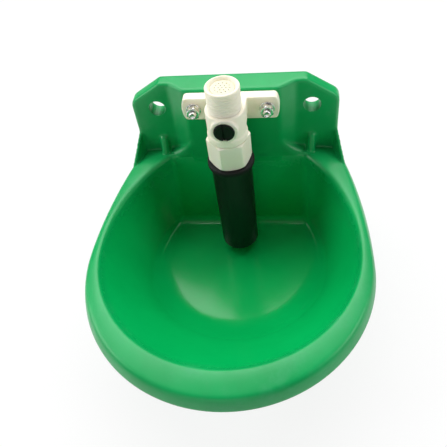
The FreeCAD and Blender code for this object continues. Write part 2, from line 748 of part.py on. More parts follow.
# Seat insert, poppet and spring
def make_valve_works():
    """Pieces inside the chamber, from the seat up to the spring."""
    plug = chamber / 2 - gap
    groove = spigot_foot + insert_plug - ring_wire - seat_land
    bore = seat_bore / 2
    turned_body("seat_insert", insert_foot, [
        (bore, 0.0), (spigot / 2, 0.0), (spigot / 2, insert_flange), (plug, insert_flange),
        (plug, groove - insert_foot), (plug - ring_wire + gap, groove - insert_foot),
        (plug - ring_wire + gap, groove - insert_foot + ring_wire + gap * 2),
        (plug, groove - insert_foot + ring_wire + gap * 2), (plug, insert_flange + insert_plug),
        (bore + edge_break, insert_flange + insert_plug),
        (bore + edge_break / 2, insert_flange + insert_plug + seat_lip),
        (bore, insert_flange + insert_plug + seat_lip),
    ])
    ring_level = groove + ring_wire / 2 + gap
    make_ring("seat_o_ring", 0.0, -axis_off, ring_level, "XZ_Plane", chamber / 2 - ring_wire, ring_wire)

    seal = seal_diameter / 2
    seal_foot = seat_level + seal_gap
    turned_body("poppet_seal", seal_foot, [
        (stem / 2, 0.0), (seal, 0.0), (seal, seal_thick), (stem / 2, seal_thick),
    ])
    disc_foot = seal_foot + seal_thick - stem_tip
    disc_roof = disc_top - stem_tip
    hub = spring_outer / 2 - spring_wire - gap * 2
    bevel = edge_break / 2
    poppet = turned_body("poppet", stem_tip, [
        (0.0, 0.0), (stem / 2 - bevel, 0.0), (stem / 2, bevel), (stem / 2, disc_foot),
        (seal + gap * 2, disc_foot), (seal + gap * 2, disc_roof), (hub, disc_roof),
        (hub - gap * 2, disc_roof + hub_height), (0.0, disc_roof + hub_height),
    ])
    fins = new_sketch(poppet, "fin_outline", offset=insert_foot - stem_tip + fin_half)
    thin = fin_half
    reach = bore - gap * 3
    add_polygon(fins, [
        (-reach, -thin), (-thin, -thin), (-thin, -reach), (thin, -reach), (thin, -thin), (reach, -thin),
        (reach, thin), (thin, thin), (thin, reach), (-thin, reach), (-thin, thin), (-reach, thin),
    ])
    extrude(poppet, "Pad", "fins", fins, seat_level - insert_foot - fin_half * 2)

    spring = new_body("valve_spring", 0.0, -axis_off, disc_top)
    wire = new_sketch(spring, "wire_section", "XZ_Plane")
    add_circle(wire, (spring_outer - spring_wire) / 2, spring_wire / 2, spring_wire)
    coil = spring.newObject("PartDesign::AdditiveHelix", "coil")
    coil.Profile = wire
    coil.ReferenceAxis = (wire, ["V_Axis"])
    coil.Mode = 1
    coil.setExpression("Pitch", ((chamber_top - disc_top - spring_wire) / spring_turns).text)
    coil.setExpression("Turns", spring_turns.text)
    return spring


# Union nut, sleeve, washer and guard ring
def make_union():
    """Hexagon nut that holds the tube head, with the loose pieces it clamps."""
    corner = nut_flats * HEX_CORNER
    nut_roof = nut_length - gap * 2
    nut = new_body("union_nut", 0.0, -axis_off, nut_foot)
    shape = new_sketch(nut, "nut_half_section", "XZ_Plane")
    add_polygon(shape, [
        (nut_mouth / 2, -nut_boss_height), (nut_boss / 2, -nut_boss_height), (nut_boss / 2, 0.0),
        (corner - edge_break * 3, 0.0), (corner, edge_break * 2), (corner, nut_roof - edge_break),
        (corner - edge_break * 2, nut_roof), (nut_bore, nut_roof),
        (nut_bore, nut_floor), (nut_mouth / 2, nut_floor),
    ])
    turn(nut, "Revolution", "nut_turning", shape)
    flats = new_sketch(nut, "flats_outline", offset=-nut_boss_height)
    add_circle(flats, 0.0, 0.0, corner * 3)
    add_hexagon(flats, nut_flats)
    extrude(nut, "Pocket", "flats", flats, nut_length * 1.2, backward=True)
    nut.Placement = FreeCAD.Placement(nut.Placement.Base, FreeCAD.Rotation(vector(0, 0, 1), nut_turn.value))
    nut.setExpression("Placement.Rotation.Angle", nut_turn.text)

    inner = spigot / 2 - sleeve_wall
    turned_body("retaining_sleeve", nut_inside, [
        (inner, 0.0), (spigot / 2, 0.0), (spigot / 2, insert_foot - nut_inside),
        (inner, insert_foot - nut_inside),
    ])
    loose = gap * 3
    turned_body("swivel_washer", nut_inside, [
        (nut_mouth / 2 - loose, 0.0), (inner - loose, 0.0), (inner - loose, swivel_thick),
        (nut_mouth / 2 - loose, swivel_thick),
    ])
    outer = guard_outer / 2
    turned_body("guard_ring", nut_foot - guard_drop, [
        (outer - guard_wall, 0.0), (outer, 0.0), (outer, guard_drop), (nut_boss / 2, guard_drop),
        (nut_boss / 2, guard_drop - nut_boss_height), (outer - guard_wall, guard_drop - nut_boss_height),
    ])
    return nut


def add_hexagon(sketch, flats, x=0.0, y=0.0):
    """Hexagon with a corner straight down from its centre."""
    half = flats / 2
    corner = flats * HEX_CORNER
    low = corner / 2
    add_polygon(sketch, [
        (x, y - corner), (x + half, y - low), (x + half, y + low),
        (x, y + corner), (x - half, y + low), (x - half, y - low),
    ])


# Push tube
def make_tube():
    """Tube that the muzzle pushes aside, and the head it hangs from."""
    neck = tube_neck / 2
    neck_foot = tube_top - neck_hold
    bevel = edge_break / 2
    turned_body("tube_head", neck_foot, [
        (neck_bore / 2, 0.0), (neck - bevel, 0.0), (neck, bevel), (neck, head_level - neck_foot),
        (tube_head_r, head_level - neck_foot), (tube_head_r, head_top - neck_foot - bevel),
        (tube_head_r - bevel, head_top - neck_foot), (seat_ring, head_top - neck_foot),
        (seat_ring, head_top - neck_foot - rim_inside), (neck_bore / 2, head_top - neck_foot - rim_inside),
    ])
    outer = tube_top_outer / 2
    foot = tube_foot_outer / 2
    length = tube_top - tube_base
    turned_body("push_tube", tube_base, [
        (foot - edge_break * 2, 0.0), (foot, edge_break), (outer, length - edge_break),
        (outer - edge_break, length), (neck + gap / 2, length),
        (neck + gap / 2, length - neck_hold - neck_relief),
        (tube_inner / 2, length - neck_hold - neck_relief - (tube_inner - tube_neck) / 2), (tube_inner / 2, 0.0),
    ])


# Strainer in the inlet
def make_strainer():
    """Perforated cap with a slotted skirt, and the gauze inside it."""
    outer = inlet_bore / 2 - gap
    foot = inlet_top - inlet_depth + cap_seat
    height = inlet_top - cap_drop - foot
    cap = turned_body("inlet_strainer", foot, [
        (outer - cap_wall, 0.0), (outer, 0.0), (outer, height), (0.0, height), (0.0, height - cap_top),
        (outer - cap_wall, height - cap_top),
    ])
    for ring in range(3):
        hole = new_sketch(cap, "cap_hole_outline_%d" % ring, offset=height)
        add_circle(hole, hole_pitch * ring, 0.0, cap_hole)
        drill = extrude(cap, "Pocket", "cap_hole_%d" % ring, hole, cap_top + gap)
        polar(cap, "cap_holes_%d" % ring, drill, ring * 6)
    window = new_sketch(cap, "window_outline", "YZ_Plane", offset=outer - cap_wall * 2)
    window_roof = height - window_head
    add_polygon(window, [
        (-window_half, window_foot), (window_half, window_foot),
        (window_half, window_roof), (-window_half, window_roof),
    ])
    cut = extrude(cap, "Pocket", "window", window, cap_wall * 3, backward=True)
    polar(cap, "windows", cut, window_count)
    inside = outer - cap_wall - gap / 2
    turned_body("strainer_gauze", foot + cap_seat, [
        (inside - gauze_wall, 0.0), (inside, 0.0), (inside, height - cap_top - cap_seat * 2),
        (inside - gauze_wall, height - cap_top - cap_seat * 2),
    ])
    return cap


def polar(body, name, feature, count):
    """Repeat one feature round the upright axis of its body."""
    if count < 2:
        return feature
    ring = body.newObject("PartDesign::PolarPattern", name)
    ring.Originals = [feature]
    ring.Axis = (datum(body, "Z_Axis"), [""])
    ring.Angle = 360
    ring.Occurrences = count
    body.Tip = ring
    return ring


# Screws, washers and nuts that hold the valve to the channel box
def make_fasteners():
    """Two of each, the second one mirrored, drawn along +Y from the nut side inwards."""
    inside = -(box_depth - wall)
    head_seat = inside + washer_thick
    nut_seat = -flange_face - washer_thick
    end = nut_seat - hex_height - bolt_end

    shank = bolt / 2
    x = bolt_spacing / 2
    head_top_y = head_seat + bolt_head_height

    screws = new_body("flange_screws")
    shape = new_sketch(screws, "bolt_half_section", offset=flange_middle, shift=x)
    dome = bolt_head_height / 2
    add_polygon(shape, [
        (0.0, end + cup_depth), (shank - cup_depth * 2, end + cup_depth), (shank - cup_depth, end),
        (shank, end + cup_depth), (shank, head_seat), (bolt_head / 2, head_seat),
        (bolt_head / 2, head_top_y - dome), (bolt_head / 2 - dome, head_top_y), (0.0, head_top_y),
    ])
    turned = turn(screws, "Revolution", "bolt_turning", shape)
    cross = new_sketch(screws, "cross_outline", "XZ_Plane", offset=-head_top_y)
    add_cross(cross, x, flange_middle)
    recess = extrude(screws, "Pocket", "cross_recess", cross, cross_depth, backward=True)
    mirror_x(screws, "other_screw", [turned, recess])

    for label, level in (("screw_back_washers", inside), ("screw_front_washers", nut_seat)):
        ring = new_body(label)
        section = new_sketch(ring, label + "_section", offset=flange_middle, shift=x)
        add_polygon(section, [
            (bolt_hole / 2, level), (washer / 2, level), (washer / 2, level + washer_thick),
            (bolt_hole / 2, level + washer_thick),
        ])
        mirror_x(ring, label + "_pair", [turn(ring, "Revolution", label + "_turned", section)])

    nuts = new_body("screw_nuts")
    corner = hex_flats * HEX_CORNER
    section = new_sketch(nuts, "hex_half_section", offset=flange_middle, shift=x)
    far = nut_seat - hex_height
    add_polygon(section, [
        (shank, far), (corner - hex_break, far), (corner, far + hex_break / 2),
        (corner, nut_seat - hex_break / 2), (corner - hex_break, nut_seat), (shank, nut_seat),
    ])
    turned = turn(nuts, "Revolution", "hex_turning", section)
    flats = new_sketch(nuts, "hex_flats_outline", "XZ_Plane", offset=-far)
    add_circle(flats, x, flange_middle, corner * 3)
    add_hexagon(flats, hex_flats, x, flange_middle)
    trimmed = extrude(nuts, "Pocket", "hex_flats", flats, hex_height)
    mirror_x(nuts, "other_nut", [turned, trimmed])


def add_cross(sketch, x, z):
    """Cross recess outline round a centre."""
    long, thin = cross_arm, cross_half
    add_polygon(sketch, [
        (x - long, z - thin), (x - thin, z - thin), (x - thin, z - long), (x + thin, z - long),
        (x + thin, z - thin), (x + long, z - thin), (x + long, z + thin), (x + thin, z + thin),
        (x + thin, z + long), (x - thin, z + long), (x - thin, z + thin), (x - long, z + thin),
    ])


make_bowl()
make_valve_body()
make_flow_screw()
make_ring("flow_screw_o_ring", 0.0, -ring_place, screw_height, "XY_Plane", ring_floor + gap / 2, ring_wire)
make_valve_works()
make_union()
make_tube()
make_strainer()
make_fasteners()

# Check every object, then write one file for each sub-part
doc.recompute()
for item in doc.Objects:
    if "Invalid" in item.State or "Error" in item.State:
        raise RuntimeError("%s did not build: %s" % (item.Name, item.getStatusString()))
bodies = [item for item in doc.Objects if item.TypeId == "PartDesign::Body"]
for body in bodies:
    if body.Shape.isNull() or not body.Shape.isValid():
        raise RuntimeError("%s has no valid shape" % body.Label)
os.makedirs("parts", exist_ok=True)
for body in bodies:
    body.Shape.exportStep("parts/%s.step" % body.Label)
    print(body.Label, len(body.Shape.Solids), "solid(s)", round(body.Shape.Volume, 1), "mm3")
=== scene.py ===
# %% [markdown]
# # A livestock drinking bowl
#
# This lesson dresses a CAD model of a wall-hung drinking bowl. The bowl is one green
# moulding with a back plate. A cream plastic valve hangs in front of it, and a black
# tube hangs from the valve into the water, where an animal pushes it aside to drink.
# Everything is in metres and in the frame of the CAD model: X along the wall, +Y into
# the wall, +Z up, with the origin midway between the two wall screw holes.

# %% Load the frame
import bisect
import math

import bmesh
import bpy
from mathutils import Matrix, Vector


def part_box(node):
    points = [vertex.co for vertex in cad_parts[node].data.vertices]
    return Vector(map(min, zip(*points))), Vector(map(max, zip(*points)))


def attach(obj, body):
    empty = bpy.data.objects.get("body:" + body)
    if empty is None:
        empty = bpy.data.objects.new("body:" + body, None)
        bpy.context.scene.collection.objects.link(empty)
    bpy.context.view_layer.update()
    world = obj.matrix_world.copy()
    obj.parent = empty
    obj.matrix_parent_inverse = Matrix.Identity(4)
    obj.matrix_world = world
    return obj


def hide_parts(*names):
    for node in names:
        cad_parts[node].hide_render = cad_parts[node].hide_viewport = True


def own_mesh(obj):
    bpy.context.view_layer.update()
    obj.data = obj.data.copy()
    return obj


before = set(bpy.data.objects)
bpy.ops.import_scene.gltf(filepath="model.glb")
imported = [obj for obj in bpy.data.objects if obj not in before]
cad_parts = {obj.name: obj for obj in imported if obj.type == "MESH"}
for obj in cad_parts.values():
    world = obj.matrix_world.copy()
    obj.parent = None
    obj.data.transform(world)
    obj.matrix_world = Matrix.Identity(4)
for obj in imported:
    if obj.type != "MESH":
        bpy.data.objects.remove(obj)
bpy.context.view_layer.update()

MM = 0.001

# %% [markdown]
# ## Camera
#
# The photograph looks down at the bowl from the front and a little from the right.
# A camera matches it when three things agree: where it stands, which way it looks
# and how wide it sees. The three directions below are the camera's own right, up and
# backwards, and the lens comes from the focal length in pixels of a 447 pixel frame.

# %% Camera
camera_data = bpy.data.cameras.new("camera")
camera_data.sensor_fit = "HORIZONTAL"
focal_pixels, frame_pixels = 539.5, 447.0
camera_data.sensor_width = 36.0
camera_data.lens = focal_pixels / frame_pixels * camera_data.sensor_width
camera_data.clip_start = 0.01
camera = bpy.data.objects.new("camera", camera_data)
bpy.context.scene.collection.objects.link(camera)
back = Vector((0.13651, -0.63162, 0.76316)).normalized()
right = Vector((0.99064, 0.08890, -0.10362))
right = (right - back * right.dot(back)).normalized()
up = back.cross(right)
turn = Matrix((right, up, back)).transposed().to_4x4()
camera.matrix_world = Matrix.Translation((0.04370, -0.30410, 0.22992)) @ turn
bpy.context.scene.camera = camera
print("lens", round(camera_data.lens, 2), "mm")

# %% [markdown]
# ## Writing materials as sums
#
# A procedural material is a net of nodes, and a long net is hard to read in code. A
# small class helps: it wraps one output socket, and its operators add Math nodes. Then
# `1 - mask * 0.4` in Python is the same sum in the shader. Numbers stay numbers until
# they meet a socket, so nothing that Python can work out ends up as a node.

# %% Wire: a socket that can be used in sums
class Wire:
    """An output socket of a node tree, or only the tree at the start."""

    def __init__(self, tree, socket=None):
        self.tree = tree
        self.socket = socket

    def add(self, kind, settings=None, inputs=None, output=0):
        """Add a node: first its settings, then the values or wires of its sockets."""
        node = self.tree.nodes.new(kind)
        for name, value in (settings or {}).items():
            setattr(node, name, value)
        for name, value in (inputs or {}).items():
            if isinstance(value, Wire):
                self.tree.links.new(value.socket, node.inputs[name])
            else:
                node.inputs[name].default_value = value
        return Wire(self.tree, node.outputs[output])

    def sum(self, operation, first, second):
        return self.add("ShaderNodeMath", {"operation": operation}, {0: first, 1: second})

    def __add__(self, other):
        return self.sum("ADD", self, other)

    def __sub__(self, other):
        return self.sum("SUBTRACT", self, other)

    def __rsub__(self, other):
        return self.sum("SUBTRACT", other, self)

    def __mul__(self, other):
        return self.sum("MULTIPLY", self, other)

    __radd__ = __add__
    __rmul__ = __mul__

    def spread(self, low, high):
        """Stretch the values between low and high over 0 to 1 and cut off the rest."""
        sockets = {"Value": self, "From Min": low, "From Max": high}
        return self.add("ShaderNodeMapRange", {"clamp": True}, sockets)

    def blend(self, first, second):
        """Mix two colours, with this wire as the share of the second."""
        settings = {"data_type": "RGBA", "clamp_factor": True}
        return self.add("ShaderNodeMix", settings, {0: self, 6: first, 7: second}, output=2)

    def noise(self, scale, detail=3.0, roughness=0.5, stretch=None):
        """Noise in the object's own metres, stretched along an axis where asked."""
        place = self.add("ShaderNodeTexCoord", output=3)
        if stretch:
            settings = {"operation": "MULTIPLY"}
            place = place.add("ShaderNodeVectorMath", settings, {0: place, 1: stretch})
        sockets = {"Vector": place, "Scale": scale, "Detail": detail, "Roughness": roughness}
        return self.add("ShaderNodeTexNoise", None, sockets)

    def bump(self, height, strength, distance):
        """Small bumps in the surface, from a wire that says how high each point is."""
        sockets = {"Height": height, "Strength": strength, "Distance": distance}
        return self.add("ShaderNodeBump", None, sockets)


print("Wire is ready")

# %% [markdown]
# ### One shader for every surface
#
# Every material here is one Principled shader. Three functions say how its colour, its
# roughness and its bumps vary over the surface, and whatever stays the same all over,
# such as how metallic it is, is written on the shader's own sockets.

# %% Finish: a material from three functions
def finish(name, colour, roughness, normal=None, metallic=0.0, **constants):
    """A Principled material. Wires may feed colour, roughness and normal, the rest is fixed."""
    material = bpy.data.materials.new(name)
    material.use_nodes = True
    tree = material.node_tree
    shader = tree.nodes["Principled BSDF"]
    start = Wire(tree)
    recipe = {"Base Color": colour(start), "Roughness": roughness(start)}
    if normal is not None:
        recipe["Normal"] = normal(start)
    for socket, wire in recipe.items():
        tree.links.new(wire.socket, shader.inputs[socket])
    shader.inputs["Metallic"].default_value = metallic
    for socket, value in constants.items():
        shader.inputs[socket.replace("_", " ")].default_value = value
    return material


print("finish is ready")

# %% [markdown]
# ## Green moulded plastic
#
# The bowl is moulded from dyed polyethylene. Such plastic is one colour all through,
# with faint clouds where the dye has flowed, and its skin has a soft ripple like the
# peel of an orange. Water and tongues keep the basin glossy, and its colour is painted
# brighter there, as painted light for the lamp light that the plate and walls keep off
# its floor. The outside is scuffed and a little pale, and its edges are painted lighter,
# partly for wear and partly as a painted highlight. An attribute called
# polish tells the two apart: it is 1 in the basin and 0 outside, and
# the bowl's mesh gets it further on. Pointiness finds the edges.

# %% Green finish
def read_polish_and_light(wire):
    return wire.add("ShaderNodeAttribute", {"attribute_name": "polish"}, output="Fac")


def green_colour(wire):
    clouds = wire.noise(22.0, 4.0, 0.6).spread(0.32, 0.70)
    deep = (0.0010, 0.315, 0.078, 1.0)
    light = (0.0020, 0.375, 0.098, 1.0)
    flecks = wire.noise(900.0, 2.0, 0.6).spread(0.66, 0.78) * 0.35
    polish = read_polish_and_light(wire)
    outside = 1.0 - polish
    # Wear and painted highlight: pointed edges outside the basin are painted lighter.
    pointed = wire.add("ShaderNodeNewGeometry", output="Pointiness")
    edge = pointed.spread(0.52, 0.60) * outside * 0.5
    scuffs = wire.noise(60.0, 5.0, 0.68).spread(0.52, 0.74) * outside * 0.42
    body = clouds.blend(deep, light)
    # Painted light: the basin is painted brighter, standing in for lamp light that the plate and
    # walls keep off its floor.
    body = (polish * 0.5).blend(body, (0.0006, 0.46, 0.098, 1.0))
    body = scuffs.blend(body, (0.045, 0.37, 0.155, 1.0))
    body = flecks.blend(body, (0.004, 0.43, 0.13, 1.0))
    return edge.blend(body, (0.020, 0.42, 0.14, 1.0))


def green_roughness(wire):
    clouds = wire.noise(35.0, 5.0, 0.65).spread(0.3, 0.7)
    fine = wire.noise(120.0, 3.0, 0.6).spread(0.45, 0.75)
    polish = read_polish_and_light(wire)
    worn = 0.30 + clouds * 0.08 + fine * 0.10
    glossy = 0.15 + clouds * 0.04 + fine * 0.03
    return polish * glossy + (1.0 - polish) * worn


def green_ripple(wire):
    peel = wire.noise(260.0, 2.0, 0.5)
    slow = wire.noise(45.0, 2.0, 0.5)
    return wire.bump(peel * 0.35 + slow, 0.07, 0.0006)


green = finish(
    "green_polyethylene", green_colour, green_roughness, green_ripple,
    Specular_IOR_Level=0.42,
)
print("made", green.name)

# %% [markdown]
# ## Cream nylon
#
# The valve is moulded in natural nylon, a warm white that lets a little light in. A
# small subsurface share gives that soft look. The strainer's cap, deep in the inlet, is
# painted darker and a shade more yellow, as painted shade for its place in the inlet.

# %% Nylon finishes
def cream_colour(wire):
    clouds = wire.noise(60.0, 4.0, 0.6).spread(0.3, 0.7)
    grime = wire.noise(140.0, 5.0, 0.7).spread(0.60, 0.80) * 0.25
    body = clouds.blend((0.94, 0.87, 0.68, 1.0), (0.97, 0.91, 0.75, 1.0))
    return grime.blend(body, (0.88, 0.80, 0.58, 1.0))


def cream_roughness(wire):
    return 0.33 + wire.noise(180.0, 4.0, 0.6) * 0.16


def cream_grain(wire):
    return wire.bump(wire.noise(1400.0, 3.0, 0.6) + wire.noise(220.0) * 1.5, 0.10, 0.0003)


# Painted shade: the strainer's cap is painted darker and more yellow, for the shade deep in the
# inlet.
def shaded_cap_colour(wire):
    clouds = wire.noise(90.0, 4.0, 0.6).spread(0.3, 0.7)
    return clouds.blend((0.76, 0.71, 0.50, 1.0), (0.82, 0.77, 0.57, 1.0))


glow_through = {
    "Subsurface_Weight": 0.2, "Subsurface_Radius": (0.008, 0.006, 0.004), "Subsurface_Scale": 1.0,
}
cream = finish("cream_nylon", cream_colour, cream_roughness, cream_grain, **glow_through)
shaded_cap = finish("shaded_cap_nylon", shaded_cap_colour, cream_roughness, cream_grain, **glow_through)
print("made", cream.name, shaded_cap.name)

# %% [markdown]
# ## Grey and black plastics
#
# The grey pieces are glass-filled, so they are dull and speckled. The tube is black
# with a satin skin, fine lines round it and scuffs where muzzles push it.

# %% Grey and black finishes
def grey_colour(wire):
    speckle = wire.noise(2200.0, 2.0, 0.7).spread(0.45, 0.62)
    return speckle.blend((0.16, 0.165, 0.17, 1.0), (0.23, 0.235, 0.24, 1.0))


def grey_roughness(wire):
    return 0.42 + wire.noise(300.0, 3.0) * 0.2


grey = finish("grey_filled_plastic", grey_colour, grey_roughness)


def tube_scuffs(wire):
    return wire.noise(230.0, 6.0, 0.7, (1.0, 1.0, 0.35))


def tube_colour(wire):
    scuffs = tube_scuffs(wire).spread(0.58, 0.80) * 0.55
    return scuffs.blend((0.0035, 0.0045, 0.0040, 1.0), (0.018, 0.020, 0.019, 1.0))


def tube_roughness(wire):
    return 0.34 + tube_scuffs(wire).spread(0.50, 0.78) * 0.25


def tube_lines(wire):
    rings = wire.noise(60.0, 3.0, 0.6, (1.0, 1.0, 45.0))
    return wire.bump(rings + wire.noise(500.0) * 0.6, 0.16, 0.0003)


black = finish(
    "black_tube_plastic", tube_colour, tube_roughness, tube_lines, Specular_IOR_Level=0.38,
)


def screw_colour(wire):
    dust = wire.noise(700.0, 5.0, 0.7).spread(0.55, 0.78) * 0.5
    return dust.blend((0.003, 0.003, 0.003, 1.0), (0.022, 0.022, 0.022, 1.0))


def screw_roughness(wire):
    return 0.26 + wire.noise(500.0, 4.0) * 0.22


screw_black = finish(
    "black_screw_plastic", screw_colour, screw_roughness,
    lambda wire: wire.bump(wire.noise(1500.0, 3.0), 0.12, 0.0002),
    Specular_IOR_Level=0.22,
)


def rubber_colour(wire):
    bloom = wire.noise(320.0, 5.0, 0.7).spread(0.50, 0.80) * 0.6
    return bloom.blend((0.004, 0.004, 0.004, 1.0), (0.012, 0.012, 0.012, 1.0))


rubber = finish(
    "black_rubber", rubber_colour,
    lambda wire: 0.55 + wire.noise(400.0, 3.0) * 0.2,
    lambda wire: wire.bump(wire.noise(1800.0, 4.0), 0.2, 0.0002),
    Specular_IOR_Level=0.3,
)
print("made", grey.name, black.name, screw_black.name, rubber.name)

# %% [markdown]
# ## Metals
#
# The screws, washers and nuts are zinc plated steel: bright, slightly warm, with tiny
# dull specks and a few brush marks. A metal's colour is the colour of its reflection,
# so Metallic is 1 and the variation goes into the base colour and the roughness. The
# spring and the gauze are drawn stainless wire, which is greyer and softly marked.

# %% Metal finishes
def plated_colour(wire):
    specks = wire.noise(1500.0, 4.0, 0.7).spread(0.55, 0.75) * 0.5
    warm = wire.noise(260.0, 2.0).spread(0.35, 0.7)
    body = warm.blend((0.78, 0.77, 0.74, 1.0), (0.70, 0.70, 0.70, 1.0))
    return specks.blend(body, (0.40, 0.39, 0.37, 1.0))


def plated_roughness(wire):
    return 0.16 + wire.noise(900.0, 4.0, 0.6, (1.0, 5.0, 1.0)) * 0.2


plated = finish(
    "zinc_plate", plated_colour, plated_roughness,
    lambda wire: wire.bump(wire.noise(2400.0, 3.0), 0.1, 0.0001),
    metallic=1.0,
)


def wire_colour(wire):
    marks = wire.noise(1200.0, 4.0).spread(0.3, 0.7)
    return marks.blend((0.50, 0.50, 0.49, 1.0), (0.62, 0.61, 0.60, 1.0))


stainless = finish(
    "drawn_stainless", wire_colour,
    lambda wire: 0.22 + wire.noise(1600.0, 3.0) * 0.22,
    metallic=1.0,
)
print("made", plated.name, stainless.name)

# %% [markdown]
# ## Helpers that make meshes
#
# A *skin* joins rows of points with quads, and nearly every piece here is one. Sizes
# are in millimetres while we draw and in metres in the mesh. A piece gets smooth faces
# except where two of them meet at a steep angle, so that edges stay crisp.

# %% Pieces and skins
def new_piece(name, points, faces, material, body="root", angle=35.0):
    """Mesh object from millimetre points, smooth except where faces meet at a steep angle."""
    mesh = bpy.data.meshes.new(name)
    mesh.from_pydata([Vector(p) * MM for p in points], [], faces)
    tidy = bmesh.new()
    tidy.from_mesh(mesh)
    bmesh.ops.remove_doubles(tidy, verts=tidy.verts, dist=1e-6)
    bmesh.ops.recalc_face_normals(tidy, faces=tidy.faces)
    tidy.to_mesh(mesh)
    tidy.free()
    piece = bpy.data.objects.new(name, mesh)
    bpy.context.scene.collection.objects.link(piece)
    mesh.materials.append(material)
    smooth(piece, angle)
    if body:
        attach(piece, body)
    return piece


def smooth(piece, angle=35.0):
    for face in piece.data.polygons:
        face.use_smooth = True
    piece.data.set_sharp_from_angle(angle=math.radians(angle))


def skin(rows, around=False, ends=False, closed=False):
    """Points and faces of a grid. around joins each row's ends, closed joins last row to first."""
    width = len(rows[0])
    points = [p for row in rows for p in row]
    faces = []
    for r in range(len(rows) if closed else len(rows) - 1):
        for c in range(width if around else width - 1):
            a, b = r * width + c, r * width + (c + 1) % width
            s = (r + 1) % len(rows)
            faces.append((a, b, s * width + (c + 1) % width, s * width + c))
    if ends:
        faces.append(tuple(range(width))[::-1])
        faces.append(tuple((len(rows) - 1) * width + c for c in range(width)))
    return points, faces


def merge(parts):
    """One list of points and one of faces from those of many parts."""
    points, faces = [], []
    for part_points, part_faces in parts:
        start = len(points)
        points += part_points
        faces += [tuple(start + i for i in face) for face in part_faces]
    return points, faces


print("new_piece and skin are ready")

# %% [markdown]
# ### Outlines, slabs and lathe work
#
# A *lathe* turns a profile round an axis, and *rounded* puts an arc on each corner of
# the profile first, because a moulded edge is never sharp. A *block* pushes an outline
# out to a slab. Discs and drums are blocks with a round outline: a disc lies flat on
# the z axis, and a drum lies along y, pointing into the wall.

# %% Outlines and simple solids
def rounded(corners, steps=4, closed=False):
    """Outline with an arc on each corner that has a radius: corners are (x, y, radius)."""
    line = []
    count = len(corners)
    for i, corner in enumerate(corners):
        here = Vector(corner[:2])
        radius = corner[2] if len(corner) > 2 else 0.0
        if radius == 0.0 or (not closed and i in (0, count - 1)):
            line.append(here)
            continue
        before = (Vector(corners[i - 1][:2]) - here).normalized()
        after = (Vector(corners[(i + 1) % count][:2]) - here).normalized()
        half = before.angle(after) / 2
        reach = radius / math.tan(half)
        centre = here + (before + after).normalized() * (radius / math.sin(half))
        first = here + before * reach - centre
        last = here + after * reach - centre
        sweep = first.angle_signed(last)
        for step in range(steps + 1):
            share = -sweep * step / steps
            line.append(centre + Matrix.Rotation(share, 2) @ first)
    return [(p.x, p.y) for p in line]


def circle(radius, across, up, steps):
    """Points of a circle round the place (across, up)."""
    turns = [2 * math.pi * k / steps for k in range(steps)]
    return [(across + radius * math.cos(a), up + radius * math.sin(a)) for a in turns]


def rectangle(half_across, half_up, across=0.0, up=0.0):
    low, high = across - half_across, across + half_across
    return [(low, up - half_up), (high, up - half_up), (high, up + half_up), (low, up + half_up)]


AXIS = -46.5


def lathe(name, profile, material, centre=(0.0, AXIS, 0.0), steps=96, body="root", along="z"):
    """Turn a closed profile of (radius, height) round the z axis, or round y where asked."""
    x, y, z = centre
    rows = []
    for i in range(steps):
        turned = 2 * math.pi * i / steps
        c, s = math.cos(turned), math.sin(turned)
        if along == "z":
            rows.append([(x + r * c, y + r * s, z + h) for r, h in profile])
        else:
            rows.append([(x + r * c, y + h, z + r * s) for r, h in profile])
    return new_piece(name, *skin(rows, around=True, closed=True), material, body)


def block(outline, low, high, axis="z"):
    """Points and faces of a slab: an outline in two coordinates, pushed out along the third."""
    order = {"z": (0, 1, 2), "y": (0, 2, 1), "x": (2, 0, 1)}[axis]
    rows = []
    for w in (low, high):
        rows.append([tuple((u, v, w)[i] for i in order) for u, v in outline])
    return skin(rows, around=True, ends=True)


def disc(radius, low, high, x=0.0, y=AXIS, steps=72):
    return block(circle(radius, x, y, steps), low, high)


def drum(radius, low, high, x, z, steps=64):
    return block(circle(radius, x, z, steps), low, high, "y")


print("outlines, blocks and lathe are ready, the valve's axis is at y =", AXIS)

# %% [markdown]
# ### Cutting and melting
#
# Modifiers do the hard work on solids. *carve* cuts pieces out of a piece with Boolean
# modifiers. *fuse* joins overlapping solids, rebuilds them as one skin of small cells
# and relaxes it, and that leaves a small round in every corner, as a mould does.

# %% Modifier helpers
def settle(piece):
    """Replace a piece's mesh by what its modifiers make of it."""
    graph = bpy.context.evaluated_depsgraph_get()
    made = bpy.data.meshes.new_from_object(piece.evaluated_get(graph))
    piece.modifiers.clear()
    piece.data = made


def break_edges(piece, width, segments, angle):
    """Bevel the edges that are sharper than an angle."""
    bevel = piece.modifiers.new("edges", "BEVEL")
    bevel.width = width * MM
    bevel.segments = segments
    bevel.angle_limit = math.radians(angle)
    settle(piece)


def carve(piece, cutters, operation="DIFFERENCE"):
    """Cut other closed meshes out of a piece, then drop them."""
    for cutter in cutters:
        cut = piece.modifiers.new("carve", "BOOLEAN")
        cut.operation = operation
        cut.solver = "EXACT"
        cut.object = cutter
        settle(piece)
        bpy.data.objects.remove(cutter)


def knife(solid):
    """A piece that is only there to be carved with."""
    return new_piece("knife", *solid, green, None)


def fuse(name, parts, voxel, passes, material):
    """Melt closed meshes into one: remesh them in small cells, then relax the edges."""
    piece = new_piece(name, *merge(parts), material, None)
    melt = piece.modifiers.new("melt", "REMESH")
    melt.mode = "VOXEL"
    melt.voxel_size = voxel * MM
    relax = piece.modifiers.new("relax", "SMOOTH")
    relax.factor = 0.5
    relax.iterations = passes
    settle(piece)
    return piece


def shape_of(piece):
    """Millimetre points and faces of a finished piece, which is then dropped."""
    points = [tuple(v.co / MM) for v in piece.data.vertices]
    faces = [tuple(face.vertices) for face in piece.data.polygons]
    bpy.data.objects.remove(piece)
    return points, faces


